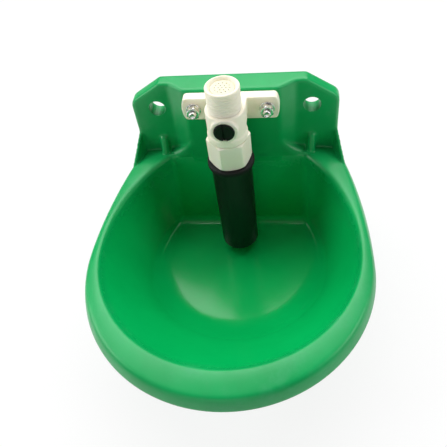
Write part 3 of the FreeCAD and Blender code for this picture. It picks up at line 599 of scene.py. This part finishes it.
def wire_piece(name, paths, radius, roundness, material, caps=False):
    """Piece of round wire along paths of millimetre points."""
    curve = bpy.data.curves.new(name, "CURVE")
    curve.dimensions = "3D"
    curve.bevel_depth = radius * MM
    curve.bevel_resolution = roundness
    curve.use_fill_caps = caps
    for path in paths:
        line = curve.splines.new("POLY")
        line.points.add(len(path) - 1)
        for point, (x, y, z) in zip(line.points, path):
            point.co = (x * MM, y * MM, z * MM, 1.0)
    drawn = bpy.data.objects.new(name, curve)
    bpy.context.scene.collection.objects.link(drawn)
    graph = bpy.context.evaluated_depsgraph_get()
    mesh = bpy.data.meshes.new_from_object(drawn.evaluated_get(graph))
    bpy.data.objects.remove(drawn)
    mesh.materials.clear()
    mesh.materials.append(material)
    piece = bpy.data.objects.new(name, mesh)
    bpy.context.scene.collection.objects.link(piece)
    return piece


print("modifier helpers are ready")

# %% [markdown]
# ## Bowl: one outline, many heights
#
# Seen from above, every level of the bowl is the same kind of egg: a round front, two
# long side curves, small corners and a straight back. If each egg is drawn with the
# same number of points, the whole bowl is one skin over a stack of eggs, and light
# runs over it without a break. This gives cleaner reflections than cutting solids.

# %% Egg outline
def egg(front, side, middle, rear, corner):
    """Points of one level, from the left of the round front to the right and round the back."""
    shift = side - front
    climb = math.asin((middle - rear - corner) / (side - corner))
    inner = (side - corner) * math.cos(climb) - shift
    line = []

    def arc(x, y, radius, start, end, steps):
        for i in range(steps):
            t = start + (end - start) * i / steps
            line.append((x + radius * math.cos(t), y + radius * math.sin(t)))

    arc(0.0, -middle, front, math.pi, 2 * math.pi, 72)
    arc(-shift, -middle, side, 0.0, climb, 30)
    arc(inner, -rear - corner, corner, climb, math.pi / 2, 10)
    for i in range(24):
        line.append((inner - 2 * inner * i / 24, -rear))
    arc(-inner, -rear - corner, corner, math.pi / 2, math.pi - climb, 10)
    arc(shift, -middle, side, math.pi - climb, math.pi, 30)
    return line


mouth = egg(81.0, 120.0, 101.0, 18.5, 6.5)
floor = egg(62.0, 80.0, 66.0, 25.0, 6.5)
outer = egg(90.4, 330.0, 111.5, 0.05, 0.8)
basin_top = egg(83.2, 122.2, 101.0, 15.6, 9.5)
basin_foot = egg(64.2, 82.2, 66.0, 22.1, 9.5)
count = len(mouth)
RIM, FLOOR, BASE = -37.0, -103.0, -106.0
print("points in each level:", count)

# %% [markdown]
# ### Wall and floor
#
# The wall runs straight from the mouth to the floor, and where they meet, a wide
# round makes a bowl easy to wipe out. The round is a short curve with three guide
# points: one on the floor, one near the corner and one on the wall.

# %% Wall and floor
def toward(start, end, share):
    return tuple(a + (b - a) * share for a, b in zip(start, end))


def inward(outline, i):
    """Direction into an outline at one of its points."""
    x0, y0 = outline[i - 1]
    x1, y1 = outline[(i + 1) % count]
    return Vector((-(y1 - y0), x1 - x0)).normalized()


def clamp(value):
    return min(1.0, max(0.0, value))


LIP_DROP = 2.6
mouth_edge = [(*point, RIM - LIP_DROP) for point in mouth]
rings = []
for step in range(9):
    t = step / 8
    ring = []
    for i in range(count):
        foot = Vector((*floor[i], FLOOR))
        size = 5.6 + 7.4 * clamp((-floor[i][1] - 34.0) / 60.0)
        rise = (Vector(mouth_edge[i]) - foot).normalized()
        level = inward(floor, i).to_3d()
        start, bend, end = foot + level * size, foot + level * size * 0.14, foot + rise * size
        ring.append(tuple(start * (1 - t) ** 2 + bend * 2 * t * (1 - t) + end * t * t))
    rings.append(ring)
for share in (0.015, 0.04, 0.1, 0.2, 0.3, 0.4, 0.5, 0.6, 0.7, 0.8, 0.9, 1.0):
    rings.append([toward(rings[8][i], mouth_edge[i], share) for i in range(count)])
print("rings of the basin:", len(rings))

# %% [markdown]
# ### Rim
#
# The rim is a broad rounded lip: it is highest just outside the mouth, falls away
# slowly and then rolls over into a short skirt. Each point of the rim lies on a line
# from the mouth to the outer edge, so one list of distances and heights describes the
# lip all the way round.

# %% Rim
INNER_ROUND, OUTER_ROUND = 3.2, 5.2


def rim_height(distance, width):
    """Height of the lip at a distance from the mouth, for a lip of that width."""
    inner_drop = LIP_DROP * max(0.0, 1.0 - distance / INNER_ROUND) ** 2.4
    slope = 3.1 * clamp((distance - INNER_ROUND) / max(1.0, width - INNER_ROUND)) ** 1.5
    roll = 7.0 * max(0.0, 1.0 - max(0.0, width - distance) / OUTER_ROUND) ** 2.6
    return RIM - inner_drop - slope - roll


def rim_ring(kind, amount):
    """One ring of the lip, measured from the mouth, from the edge or as a share between."""
    ring = []
    for i in range(count):
        width = math.dist(mouth[i], outer[i])
        distance = {
            "in": amount,
            "out": width - amount,
            "share": INNER_ROUND + (width - INNER_ROUND - OUTER_ROUND) * amount,
        }[kind]
        x, y = toward(mouth[i], outer[i], distance / width)
        ring.append((x, y, rim_height(distance, width)))
    return ring


places = [("in", a) for a in (0.15, 0.5, 1.0, 1.6, 2.4, INNER_ROUND)]
places += [("share", a / 8) for a in range(1, 8)]
places += [("out", a) for a in (OUTER_ROUND, 4.2, 3.3, 2.4, 1.6, 0.9, 0.4, 0.1, 0.0)]
rings += [rim_ring(kind, amount) for kind, amount in places]
print("rings of basin and rim:", len(rings))

# %% [markdown]
# ### Skirt and outside
#
# The skin goes on without a break: down the skirt, round its lower edge, up inside it,
# across to the outside of the basin and down to the base. Then the channel for the
# pipe is cut through the shelf, and each point gets its share of polish,
# the mask for the basin's gloss and for its painted brighter colour: we look up how
# far the mouth's edge is in the point's direction, and whether the point lies inside.

# %% Skirt, outside and bowl
skirt = (
    (0.0, -48.6), (0.2, -49.4), (0.8, -50.0), (2.2, -50.0),
    (2.8, -49.4), (3.0, -48.6), (3.0, -45.0),
)
base = ((0.6, -104.2), (1.6, -105.3), (3.0, -105.9), (4.5, BASE))


def inset(outline, depth, z):
    """An outline moved inwards by a depth, at height z."""
    return [(*(Vector(outline[i]) + inward(outline, i) * depth), z) for i in range(count)]


rings += [inset(outer, depth, z) for depth, z in skirt]
rings.append(inset(outer, 3.6, -44.0))
rings.append([(*point, -41.4) for point in basin_top])
for share in (0.0, 0.25, 0.5, 0.75, 0.94):
    ends = zip(basin_top, basin_foot)
    rings.append([toward((*top, -42.0), (*foot, BASE), share) for top, foot in ends])
rings += [inset(basin_foot, depth, z) for depth, z in base]
bowl = new_piece("bowl_shell", *skin(rings, around=True, ends=True), green, None, 180.0)

channel = [(-38.0, 2.0), (-38.0, -9.3), (-30.3, -15.5), (30.3, -15.5), (38.0, -9.3), (38.0, 2.0)]
wide_channel = [(x * 1.006, y - 0.2 if y < 0.0 else y) for x, y in channel]
carve(bowl, [knife(block(wide_channel, -53.0, -30.0))])

centre = Vector((0.0, -85.0))
reach = []
for x, y in mouth:
    away = Vector((x, y)) - centre
    reach.append((math.atan2(away.y, away.x), away.length))
reach.sort()
# Each point's share of the basin's gloss and of its painted brighter colour (painted light).
polish = bowl.data.attributes.new("polish", "FLOAT", "POINT")
for vertex, value in zip(bowl.data.vertices, polish.data):
    away = vertex.co.xy / MM - centre
    nearest = bisect.bisect(reach, (math.atan2(away.y, away.x),))
    edge = reach[nearest % count][1]
    value.value = clamp((edge + 1.0 - away.length) / 3.0)
smooth(bowl, 40.0)
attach(bowl, "root")
print("bowl skin:", len(bowl.data.vertices), "points")

# %% [markdown]
# ## Back plate, ribs and gussets
#
# The plate rises from the shelf behind the mouth. Two flat ears carry the wall screws,
# and between them a box leaves room for a pipe. On a moulding all of these flow into
# each other with small rounds. The easiest way to get such rounds everywhere is to
# overlap simple solids and to melt them together. The first solid is the plate itself,
# with a hollow behind each ear that leaves a boss round the wall screw's hole.

# %% Plate blank
HOLE_SIDE = 53.0
BOLT_SIDE, BOLT_UP = 24.0, 10.0
left_half = [(-71.0, 0.0), (-71.0, -10.5), (-42.5, -10.5), (-31.5, -18.5)]
plan = left_half + [(-x, y) for x, y in reversed(left_half)]
plate = new_piece("plate_blank", *block(plan, -41.0, 20.0), green, None)
front_view = rounded([
    (-71.0, -50.0), (-71.0, 5.5, 8.0), (-49.0, 20.0, 4.0),
    (49.0, 20.0, 4.0), (71.0, 5.5, 8.0), (71.0, -50.0),
], 8)
carve(plate, [knife(block(front_view, -30.0, 10.0, "y"))], "INTERSECT")
break_edges(plate, 1.9, 4, 28.0)
for side in (-1.0, 1.0):
    corners = [(42.5, -35.5), (68.0, -35.5), (68.0, 4.0), (47.5, 17.0), (42.5, 17.0)]
    hollow = knife(block([(side * x, z) for x, z in corners], -7.5, 2.0, "y"))
    carve(hollow, [knife(drum(10.0, -9.0, 4.0, side * HOLE_SIDE, 0.0, 48))])
    carve(plate, [hollow])
carve(plate, [knife(block(channel, -50.0, 17.0))])
parts = [shape_of(plate)]
print("plate blank:", len(parts[0][0]), "points")

# %% [markdown]
# ### Ribs, gussets and the lip in the corners
#
# On each side a round-fronted rib stands against the ear and a thin gusset closes the
# shelf's end. Between the mouth's back corner and the slanted side of the box, a lip
# climbs from the rim to the box. Its cross section is the same rounded wedge all the
# way, and only its height and its front move along.

# %% Ribs, gussets and corner lips
lip_tops = (
    (60.0, -39.6), (57.0, -39.1), (54.0, -38.6), (50.0, -37.6), (46.0, -36.0), (42.0, -33.8),
    (38.6, -31.0), (36.0, -28.0), (34.0, -24.5), (32.0, -20.5), (30.0, -16.0),
)
rib_levels = ((-41.5, -17.4, 0.0), (-36.6, -17.4, 0.0), (-25.4, -13.3, 0.0), (-24.3, -12.6, 0.9))
FLAT_BACK = 47.0
for side in (-1.0, 1.0):
    rib = []
    for z, front, trim in rib_levels:
        half = 2.8 - trim
        row = [(half, -9.0)]
        for k in range(9):
            a = math.pi * k / 8
            row.append((half * math.cos(a), front + trim + 2.4 * (1.0 - math.sin(a))))
        row.append((-half, -9.0))
        rib.append([(side * HOLE_SIDE + x, y, z) for x, y in row])
    gusset = [(68.3, -9.0, -20.0), (70.7, -9.0, -20.0), (77.0, -28.5, -40.0), (74.6, -28.5, -40.0)]
    gusset = [(side * x, y, z) for x, y, z in gusset]
    foot = [(x, y, -42.6) for x, y, z in gusset]
    lip = []
    for x, top in lip_tops:
        front, low, jut = -18.3, -44.2, 0.65
        if x > FLAT_BACK:
            front, low, jut = -18.3 - 4.2 * ((x - FLAT_BACK) / 10.0) ** 1.5, -41.0, 0.0
        lip.append([(side * x, y, z) for y, z in (
            (front - jut, low), (front, -41.0), (front, top - 4.5), (front + 0.5, top - 2.4),
            (front + 1.6, top - 0.9), (front + 3.4, top), (-9.0, top + 0.8), (-9.0, low),
        )])
    parts += [skin(rows, around=True, ends=True) for rows in (rib, [foot, gusset], lip)]
print("solids so far:", len(parts))

# %% [markdown]
# ### Feet that melt into the bowl
#
# Two more solids make the plate grow out of the bowl with a soft foot: an apron that
# follows the basin's back wall, and a thin slab just under the top of the shelf.

# %% Feet
apron = [(-12.0, -28.0), (-18.5, -28.0), (-18.95, -44.2), (-12.0, -44.2)]
parts.append(block(apron, -32.0, 32.0, "x"))
strips = []
for i in range(count):
    if mouth[i][1] > -46.0:
        width = math.dist(mouth[i], outer[i])
        strip = []
        for share in (0.12, 0.4, 0.7, 0.9):
            strip.append((*toward(mouth[i], outer[i], share), rim_height(width * share, width)))
        top = [(x, y, z - 0.35) for x, y, z in strip]
        strips.append(top + [(x, y, z - 1.9) for x, y, z in reversed(strip)])
parts.append(skin(strips, around=True, ends=True))
print("solids to melt:", len(parts))

# %% [markdown]
# ### Melting the plate
#
# After the melt the holes are drilled, so that they stay crisp. The foot takes over
# the basin's polish step by step, both its gloss and its painted
# brighter colour, and no line shows where the two skins meet.

# %% Melt the plate
back_plate = fuse("back_plate", parts, 0.8, 7, green)
drills = [knife(block(channel, -53.0, 17.0))]
for side in (-1.0, 1.0):
    drills.append(knife(drum(6.0, -30.0, 5.0, side * HOLE_SIDE, 0.0)))
    drills.append(knife(drum(2.75, -30.0, 5.0, side * BOLT_SIDE, BOLT_UP, 32)))
carve(back_plate, drills)
# The foot gets the basin's gloss and its painted brighter colour (painted light).
foot_polish_and_light = back_plate.data.attributes.new("polish", "FLOAT", "POINT")
for vertex, value in zip(back_plate.data.vertices, foot_polish_and_light.data):
    x, y, z = vertex.co / MM
    at_foot = y < -17.8 and abs(x) < FLAT_BACK
    value.value = clamp((-37.0 - z) / 6.0) if at_foot else 0.0
smooth(back_plate, 50.0)
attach(back_plate, "root")
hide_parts("bowl")
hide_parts("bowl")
print("back plate:", len(back_plate.data.vertices), "points")

# %% [markdown]
# ## Valve body
#
# The body is one nylon moulding: a threaded inlet on a barrel, a collar below, two
# wings that bolt to the plate, and a round boss in front for the flow screw. It is
# melted from solids like the plate, in smaller cells because it is a smaller piece.

# %% Valve moulding
SCREW_UP = 19.2
lean = math.asin(8.5 / 20.0)
arch = []
for k in range(9):
    a = lean * (k / 4 - 1)
    arch.append((12.0 + 20.0 * math.cos(a), BOLT_UP + 20.0 * math.sin(a)))
arch += [(-x, z) for x, z in reversed(arch)]
wing = rounded([(x, z, 2.4 if abs(z - BOLT_UP) > 8.4 else 0.0) for x, z in arch], 5, True)
solids = [
    disc(12.3, 6.0, 27.5), disc(12.8, 6.0, 10.5), disc(10.8, -2.0, 8.0), disc(9.6, 26.0, 31.0),
    block(wing, -25.5, -18.5, "y"),
    block([(-11.2, 6.0), (11.2, 6.0), (11.2, 18.2), (-11.2, 18.2)], AXIS, -21.0, "y"),
    drum(8.5, -59.5, AXIS, 0.0, SCREW_UP),
]
valve = fuse("valve_moulding", solids, 0.42, 9, cream)
water_ways = [disc(7.5, -4.0, 12.0), disc(3.0, 11.0, 33.0)]
screw_bores = [
    drum(radius, low, high, 0.0, SCREW_UP)
    for radius, low, high in ((6.5, -61.0, -55.3), (4.9, -56.0, -50.15), (2.9, -50.6, AXIS))
]
bolt_holes = [drum(2.75, -27.0, -17.0, side * BOLT_SIDE, BOLT_UP) for side in (1.0, -1.0)]
carve(valve, [knife(solid) for solid in water_ways + screw_bores + bolt_holes])
smooth(valve, 50.0)
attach(valve, "root")
print("valve moulding:", len(valve.data.vertices), "points")

# %% [markdown]
# ### Inlet thread
#
# The thread is a skin of its own: its radius goes up and down with height, and the
# wave climbs one pitch a turn. At both ends the groove fades out, as a real one does.

# %% Inlet thread
PITCH = 1.814
THREAD_LOW, THREAD_HIGH = 27.6, 42.4


def thread_radius(turned, z):
    """Radius of a half inch pipe thread, with its ends running out."""
    wave = (z / PITCH - turned / (2 * math.pi)) % 1.0
    dip = 1.0 - abs(2.0 * wave - 1.0)
    dip = dip * dip * (3.0 - 2.0 * dip)
    fade = min(1.0, max(0.0, (z - THREAD_LOW) / 1.5), max(0.0, (THREAD_HIGH - z) / 0.8))
    return 10.47 - 0.42 * dip * fade


inlet_mouth = [
    (10.25, 43.1), (9.95, 43.4), (9.6, 43.5), (9.3, 43.5), (9.0, 43.4), (8.7, 43.1),
    (7.7, 41.9), (7.5, 41.5), (7.5, 30.0), (3.0, 30.0), (3.0, 27.5),
]
heights = [THREAD_LOW + 15.2 * j / 110 for j in range(111)]
rows = []
for k in range(128):
    a = 2 * math.pi * k / 128
    column = [(9.4, 27.5)] + [(thread_radius(a, z), z) for z in heights] + inlet_mouth
    rows.append([(r * math.cos(a), AXIS + r * math.sin(a), z) for r, z in column])
inlet = new_piece("inlet_thread", *skin(rows, around=True, closed=True), cream, "root", 40.0)
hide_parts("valve_body")
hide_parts("valve_body")
print("thread:", len(inlet.data.vertices), "points")

# %% [markdown]
# ## Union nut
#
# A turned hexagon is the overlap of a six-sided bar and a cone. In each direction the
# radius is the smaller of the two, which draws the curved lines where the bevel meets
# the flats without cutting anything. The same idea makes the two small steel nuts.

# %% Hexagon pieces
def hexagon_radius(angle, flats, soften):
    """Distance from the centre to a hexagon with slightly rounded corners."""
    turned = (angle + math.pi / 6) % (math.pi / 3) - math.pi / 6
    sharp = flats / 2 / math.cos(turned)
    over = max(0.0, sharp - (flats / math.sqrt(3) - soften))
    return sharp - over ** 2 / (2 * soften)


def hexagon(name, flats, profile, bore, material, place, steps=144, first=0.0, soften=0.5):
    """Hexagon whose outside is cut by a profile of (cone radius, height), with a bored middle."""
    rows = []
    for k in range(steps):
        a = 2 * math.pi * k / steps
        edge = hexagon_radius(a - first, flats, soften)
        column = [(min(edge, r), h) for r, h in profile] + bore
        rows.append([place(a, r, h) for r, h in column])
    return new_piece(name, *skin(rows, around=True, closed=True), material, "root", 24.0)


nut_profile = [
    (11.0, -13.3), (11.9, -13.3), (12.3, -13.25), (12.7, -13.1), (13.1, -12.85), (13.5, -12.5),
    (13.9, -12.1), (14.5, -11.5), (14.5, -6.0), (14.5, 0.0), (14.5, 4.6), (14.1, 5.0),
    (13.7, 5.3), (13.3, 5.5), (12.9, 5.65), (12.5, 5.75), (12.1, 5.8),
]
nut_bore = [
    (11.6, 5.8), (11.2, 5.7), (10.95, 5.4), (10.95, -10.2), (10.75, -10.4), (8.7, -10.4),
    (8.3, -10.8), (8.3, -13.9), (8.7, -14.3), (10.7, -14.3), (11.0, -14.0),
]
nut_turn = math.radians(-48.0) + math.pi / 6
nut = hexagon(
    "union_nut_hexagon", 25.0, nut_profile, nut_bore, cream,
    lambda a, r, h: (r * math.cos(a), AXIS + r * math.sin(a), h), 288, nut_turn,
)
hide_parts("union_nut")
print("union nut:", len(nut.data.vertices), "points")

# %% [markdown]
# ## Push tube and its head
#
# The tube is a thick black pipe with turned edges. Its head sits inside the union nut
# and rocks on a washer, so the neck has to be a loose fit in the nut's mouth. Both are
# lathe work. They ride on the tube's own body, so they tilt and swivel with it.

# %% Tube
tube_profile = rounded([
    (13.2, -95.5, 1.2), (13.5, -16.7, 1.2), (7.25, -16.7, 0.6),
    (7.25, -31.0), (10.0, -33.8), (10.0, -95.5, 0.8),
], 5, True)
tube = lathe("push_tube_sleeve", tube_profile, black, body="tube", steps=120)
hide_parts("push_tube")
head_profile = rounded([
    (4.0, -30.6, 0.4), (7.2, -30.6, 0.8), (7.2, -9.6), (9.1, -9.6, 0.3), (9.1, -6.8, 0.5),
    (6.1, -6.8), (6.1, -8.2), (4.0, -8.2, 0.3),
], 4, True)
tube_head = lathe("tube_head_turning", head_profile, grey, body="tube")
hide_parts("tube_head")
print("tube:", len(tube.data.vertices), "points, head:", len(tube_head.data.vertices))

# %% [markdown]
# ## Guard ring, sleeve, washer and seat
#
# Under the nut hangs a black rubber ring that keeps splashes and grit out of the
# swivel. The sleeve, the swivel washer and the seat insert are hidden inside the nut,
# but they are modelled too, because the model can be taken apart.

# %% Rings inside and under the nut
turned_pieces = (
    ("guard_ring_skirt", "guard_ring", rubber, "black_rubber", "root", [
        (14.5, -16.6, 0.3), (15.5, -16.6, 0.4), (15.5, -13.3, 0.8),
        (11.0, -13.3), (11.0, -14.3), (14.5, -14.3, 0.3),
    ]),
    ("retaining_sleeve_ring", "retaining_sleeve", grey, "grey_plastic", "root", [
        (9.6, -10.4, 0.2), (10.8, -10.4, 0.2), (10.8, -4.0, 0.2), (9.6, -4.0, 0.2),
    ]),
    ("swivel_washer_ring", "swivel_washer", grey, "grey_plastic", "swivel", [
        (8.0, -10.4, 0.15), (9.3, -10.4, 0.15), (9.3, -9.6, 0.15), (8.0, -9.6, 0.15),
    ]),
    ("seat_insert_turning", "seat_insert", grey, "grey_plastic", "root", [
        (3.3, -4.0, 0.3), (10.8, -4.0, 0.3), (10.8, -2.0, 0.3), (7.4, -2.0), (7.4, -0.4, 0.1),
        (6.0, -0.4), (6.0, 1.3), (7.4, 1.3, 0.1), (7.4, 2.0, 0.2), (4.1, 2.0),
        (3.8, 2.6, 0.15), (3.3, 2.6, 0.1),
    ]),
    ("poppet_face", "poppet_seal", rubber, "black_rubber", "poppet_group", [
        (1.5, 2.65), (5.3, 2.65, 0.25), (5.3, 4.65, 0.25), (1.5, 4.65),
    ]),
)
for piece_name, node, material, slot_name, body_name, corners in turned_pieces:
    ring = lathe(piece_name, rounded(corners, 3, True), material, body=body_name)
    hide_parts(node)
    print(piece_name, len(ring.data.vertices), "points")

# %% [markdown]
# ## Flow screw
#
# The black screw in front throttles the water. Only its head shows: a disc with a
# driver slot from edge to edge and a small bevel, sunk in its boss. The slot is cut
# with a Boolean, then a Bevel modifier breaks the sharp edges that the cut leaves.

# %% Screw and sealing rings
screw_profile = rounded([
    (0.01, -60.0), (4.4, -60.0), (4.9, -60.3, 0.2), (6.4, -60.3, 0.4), (6.4, -57.7, 0.2),
    (4.8, -57.7), (4.8, -54.75, 0.1), (3.35, -54.75), (3.35, -53.05), (4.8, -53.05, 0.1),
    (4.8, -52.55, 0.2), (2.7, -52.55), (2.7, -50.2, 0.3), (1.8, -49.6, 0.2), (0.01, -49.6),
])
flow_screw = lathe(
    "flow_screw_turning", screw_profile, screw_black, (0.0, 0.0, SCREW_UP), 120, None, "y",
)
driver_slot = [(-1.05, -12.0), (1.05, -12.0), (1.05, 50.0), (-1.05, 50.0)]
carve(flow_screw, [knife(block(driver_slot, -62.0, -58.6, "y"))])
break_edges(flow_screw, 0.25, 2, 50.0)
smooth(flow_screw, 30.0)
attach(flow_screw, "screw")
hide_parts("flow_screw")
RING_WIRE = 0.75
for name, node, body, along in (
    ("flow_screw_seal", "flow_screw_o_ring", "screw_ring", "y"),
    ("seat_seal", "seat_o_ring", "root", "z"),
):
    low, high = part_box(node)
    middle = [(a + b) / 2 / MM for a, b in zip(low, high)]
    radius = (high[0] - low[0]) / 2 / MM - RING_WIRE
    ring = lathe(name, circle(RING_WIRE, radius, 0.0, 20), rubber, middle, 96, body, along)
    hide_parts(node)
print("flow screw:", len(flow_screw.data.vertices), "points")

# %% [markdown]
# ## Poppet, spring and strainer
#
# The poppet is a disc with a stem and four thin guide fins, which are two crossed
# slabs. It closes the seat from above and rises when the rocking head lifts its stem.

# %% Poppet
poppet_profile = rounded([
    (0.01, -6.4), (1.5, -6.4, 0.6), (1.5, 4.65), (5.5, 4.65, 0.1), (5.5, 6.25, 0.4),
    (3.2, 6.25), (3.0, 7.45, 0.3), (0.01, 7.45),
])
stem = lathe("poppet_turning", poppet_profile, grey, body="poppet_group")
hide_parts("poppet")
for number, (half_x, half_y) in enumerate(((3.0, 0.5), (0.5, 3.0))):
    corners = rectangle(half_x, half_y, 0.0, AXIS)
    outline = rounded([(*corner, 0.2) for corner in corners], 3, True)
    fin = new_piece("poppet_fin_%d" % number, *block(outline, -3.5, 2.1), grey, "poppet_group")
    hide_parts("poppet")
print("poppet:", len(stem.data.vertices), "points")

# %% [markdown]
# ### Spring
#
# The spring is a helix of four turns, drawn as round wire along a line of points.

# %% Spring
TURNS, STEPS, LIFT = 4.0, 160, 0.9 * MM
low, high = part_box("valve_spring")
bottom, top = low[2] / MM + 0.4, high[2] / MM - 0.4
helix = []
for k in range(STEPS + 1):
    a = 2 * math.pi * TURNS * k / STEPS
    z = bottom + (top - bottom) * k / STEPS
    helix.append((3.8 * math.cos(a), AXIS + 3.8 * math.sin(a), z))
spring = wire_piece("valve_spring_coil", [helix], 0.4, 3, stainless, caps=True)
smooth(spring, 60.0)
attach(spring, "root")
1.0 - LIFT / (high[2] - low[2])
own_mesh(spring)
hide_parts("valve_spring")
print("spring:", len(spring.data.vertices), "points")

# %% [markdown]
# ### Strainer
#
# The strainer is a cap with nineteen small holes in its top and eight windows in its
# side. Holes that don't touch can be merged into one knife, and one cut is quick.
# Inside stands a gauze of fine wires: hoops and uprights.

# %% Strainer cap and gauze
low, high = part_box("inlet_strainer")
cap_foot, cap_top = low[2] / MM, high[2] / MM
cap_profile = rounded([
    (6.4, cap_foot, 0.2), (7.4, cap_foot, 0.2), (7.4, cap_top, 0.4), (0.01, cap_top),
    (0.01, cap_top - 1.2), (6.4, cap_top - 1.2, 0.2),
], 3, True)
cap = lathe("strainer_cap", cap_profile, shaded_cap, body=None)
drills = []
for radius, number in ((0.0, 1), (2.3, 6), (4.6, 12)):
    for x, y in circle(radius, 0.0, AXIS, number):
        drills.append(disc(0.4, cap_top - 2.0, cap_top + 1.0, x, y, 16))
windows = []
for k in range(8):
    a = 2 * math.pi * k / 8
    c, s = math.cos(a), math.sin(a)
    window = []
    for r, w in ((5.6, -1.3), (5.6, 1.3), (8.4, 1.3), (8.4, -1.3)):
        window.append((r * c - w * s, AXIS + r * s + w * c))
    windows.append(block(window, cap_foot + 1.6, cap_top - 3.2))
carve(cap, [knife(merge(drills))])
carve(cap, [knife(merge(windows))])
smooth(cap, 30.0)
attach(cap, "root")
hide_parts("inlet_strainer")

low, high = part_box("strainer_gauze")
mesh_foot, mesh_top = low[2] / MM, high[2] / MM
hoop = circle(6.18, 0.0, AXIS, 48)
wires = []
for k in range(24):
    z = mesh_foot + 0.2 + (mesh_top - mesh_foot - 0.4) * k / 23
    wires.append([(x, y, z) for x, y in hoop + hoop[:1]])
for x, y in circle(6.2, 0.0, AXIS, 64):
    wires.append([(x, y, mesh_foot + 0.1), (x, y, mesh_top - 0.1)])
gauze = wire_piece("strainer_weave", wires, 0.09, 0, stainless)
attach(gauze, "root")
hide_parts("strainer_gauze")
print("strainer:", len(cap.data.vertices), "gauze:", len(gauze.data.vertices))

# %% [markdown]
# ## Screws, washers and nuts
#
# Two steel screws come through the box from behind. In front each carries a washer and
# a nut, and the end of the screw stands out of the nut with a hollow tip. Their shine
# matters more than their shape at this size, so each edge is rounded to catch light.

# %% Fasteners
bolt_profile = rounded([
    (0.01, -32.2), (1.2, -32.6), (1.9, -33.0, 0.2), (2.5, -32.3, 0.3), (2.5, -14.5),
    (4.5, -14.5, 0.2), (4.5, -12.7, 0.6), (2.9, -11.3, 0.8), (0.01, -11.3),
])
hex_profile = [
    (2.9, -30.5), (3.5, -30.5), (3.9, -30.45), (4.15, -30.3), (4.4, -30.15), (4.62, -29.95),
    (4.62, -28.5), (4.62, -27.05), (4.4, -26.85), (4.15, -26.7), (3.9, -26.55), (3.5, -26.5),
    (2.9, -26.5),
]
hex_bore = [(2.5, -26.9), (2.5, -30.1)]
washers = (
    ("back_washer_", "screw_back_washers", -15.5), ("front_washer_", "screw_front_washers", -26.5),
)
for side, tag in ((-1.0, "left"), (1.0, "right")):
    across = side * BOLT_SIDE
    spot = (across, 0.0, BOLT_UP)
    bolt = lathe("flange_screw_" + tag, bolt_profile, plated, spot, 48, None, "y")
    for half_x, half_z in ((2.2, 0.55), (0.55, 2.2)):
        arm = block(rectangle(half_x, half_z, across, BOLT_UP), -13.1, -11.0, "y")
        carve(bolt, [knife(arm)])
    smooth(bolt, 35.0)
    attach(bolt, "root")
    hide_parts("flange_screws")
    for name, node, seat in washers:
        outline = rounded([
            (2.75, seat, 0.15), (5.0, seat, 0.3), (5.0, seat + 1.0, 0.3), (2.75, seat + 1.0, 0.15),
        ], 3, True)
        washer = lathe(name + tag, outline, plated, spot, 64, "root", "y")
        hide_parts(node)
    nut_piece = hexagon(
        "screw_nut_" + tag, 8.0, hex_profile, hex_bore, plated,
        lambda a, r, h: (across + r * math.cos(a), h, BOLT_UP + r * math.sin(a)),
        144, math.radians(12.0 * side), 0.25,
    )
    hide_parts("screw_nuts")
print("fasteners made")

# %% [markdown]
# ## Floor and light
#
# The picture has a white ground and even light. A pale floor catches a faint shadow and
# gives off light to the camera only, so it looks white and adds no light to the
# object. The surroundings do the same: dim for the object, white for the camera. One
# large soft lamp behind and above gives most of the light. Weak lamps above, low in
# front and at both sides lift the shadows and shape the round walls.

# %% Stage
GROUND = -106.4
WHITE = (1.0, 1.0, 1.0, 1.0)


def ground_material():
    material = bpy.data.materials.new("pale_ground")
    material.use_nodes = True
    tree = material.node_tree
    tree.nodes.clear()
    start = Wire(tree)
    clouds = start.noise(40.0, 3.0).spread(0.3, 0.7)
    grain = clouds.blend((0.86, 0.86, 0.86, 1.0), (0.88, 0.88, 0.88, 1.0))
    matt = start.add("ShaderNodeBsdfDiffuse", None, {"Color": grain})
    glow = start.add("ShaderNodeEmission", None, {"Color": WHITE, "Strength": 1.0})
    share = start.add("ShaderNodeLightPath", output="Is Camera Ray") * 0.86
    mixed = start.add("ShaderNodeMixShader", None, {0: share, 1: matt, 2: glow})
    end = tree.nodes.new("ShaderNodeOutputMaterial")
    tree.links.new(mixed.socket, end.inputs["Surface"])
    return material


ground_points = [(x, y, GROUND) for x, y in rectangle(1500.0, 1500.0)]
ground = new_piece("ground", ground_points, [(0, 1, 2, 3)], ground_material(), None)


def lamp(name, place, target, size, power):
    """Rectangular lamp at a place, facing a target."""
    data = bpy.data.lights.new(name, "AREA")
    data.shape = "RECTANGLE"
    data.size, data.size_y = size
    data.energy = power
    light = bpy.data.objects.new(name, data)
    bpy.context.scene.collection.objects.link(light)
    light.location = place
    light.rotation_euler = (Vector(target) - Vector(place)).to_track_quat("-Z", "Y").to_euler()


lamp("key", (-0.10, 0.50, 1.00), (0.0, -0.10, -0.06), (1.8, 1.1), 23.5)
lamp("fill", (-0.15, -0.55, 1.10), (0.0, -0.05, 0.0), (0.8, 0.6), 0.6)
lamp("front", (-0.10, -1.10, 0.14), (0.0, -0.05, 0.0), (0.9, 0.30), 1.1)
lamp("left", (-0.85, -0.17, 0.40), (0.0, -0.06, 0.0), (0.5, 0.5), 3.8)
lamp("right", (0.85, -0.17, 0.40), (0.0, -0.06, 0.0), (0.5, 0.5), 3.0)
world = bpy.data.worlds.new("room")
world.use_nodes = True
start = Wire(world.node_tree)
dim = start.add("ShaderNodeBackground", None, {"Color": WHITE, "Strength": 0.07})
white = start.add("ShaderNodeBackground", None, {"Color": WHITE, "Strength": 1.0})
seen = start.add("ShaderNodeLightPath", output="Is Camera Ray")
both = start.add("ShaderNodeMixShader", None, {0: seen, 1: dim, 2: white})
world.node_tree.links.new(both.socket, world.node_tree.nodes["World Output"].inputs["Surface"])
bpy.context.scene.world = world
bpy.context.scene.view_settings.view_transform = "Standard"
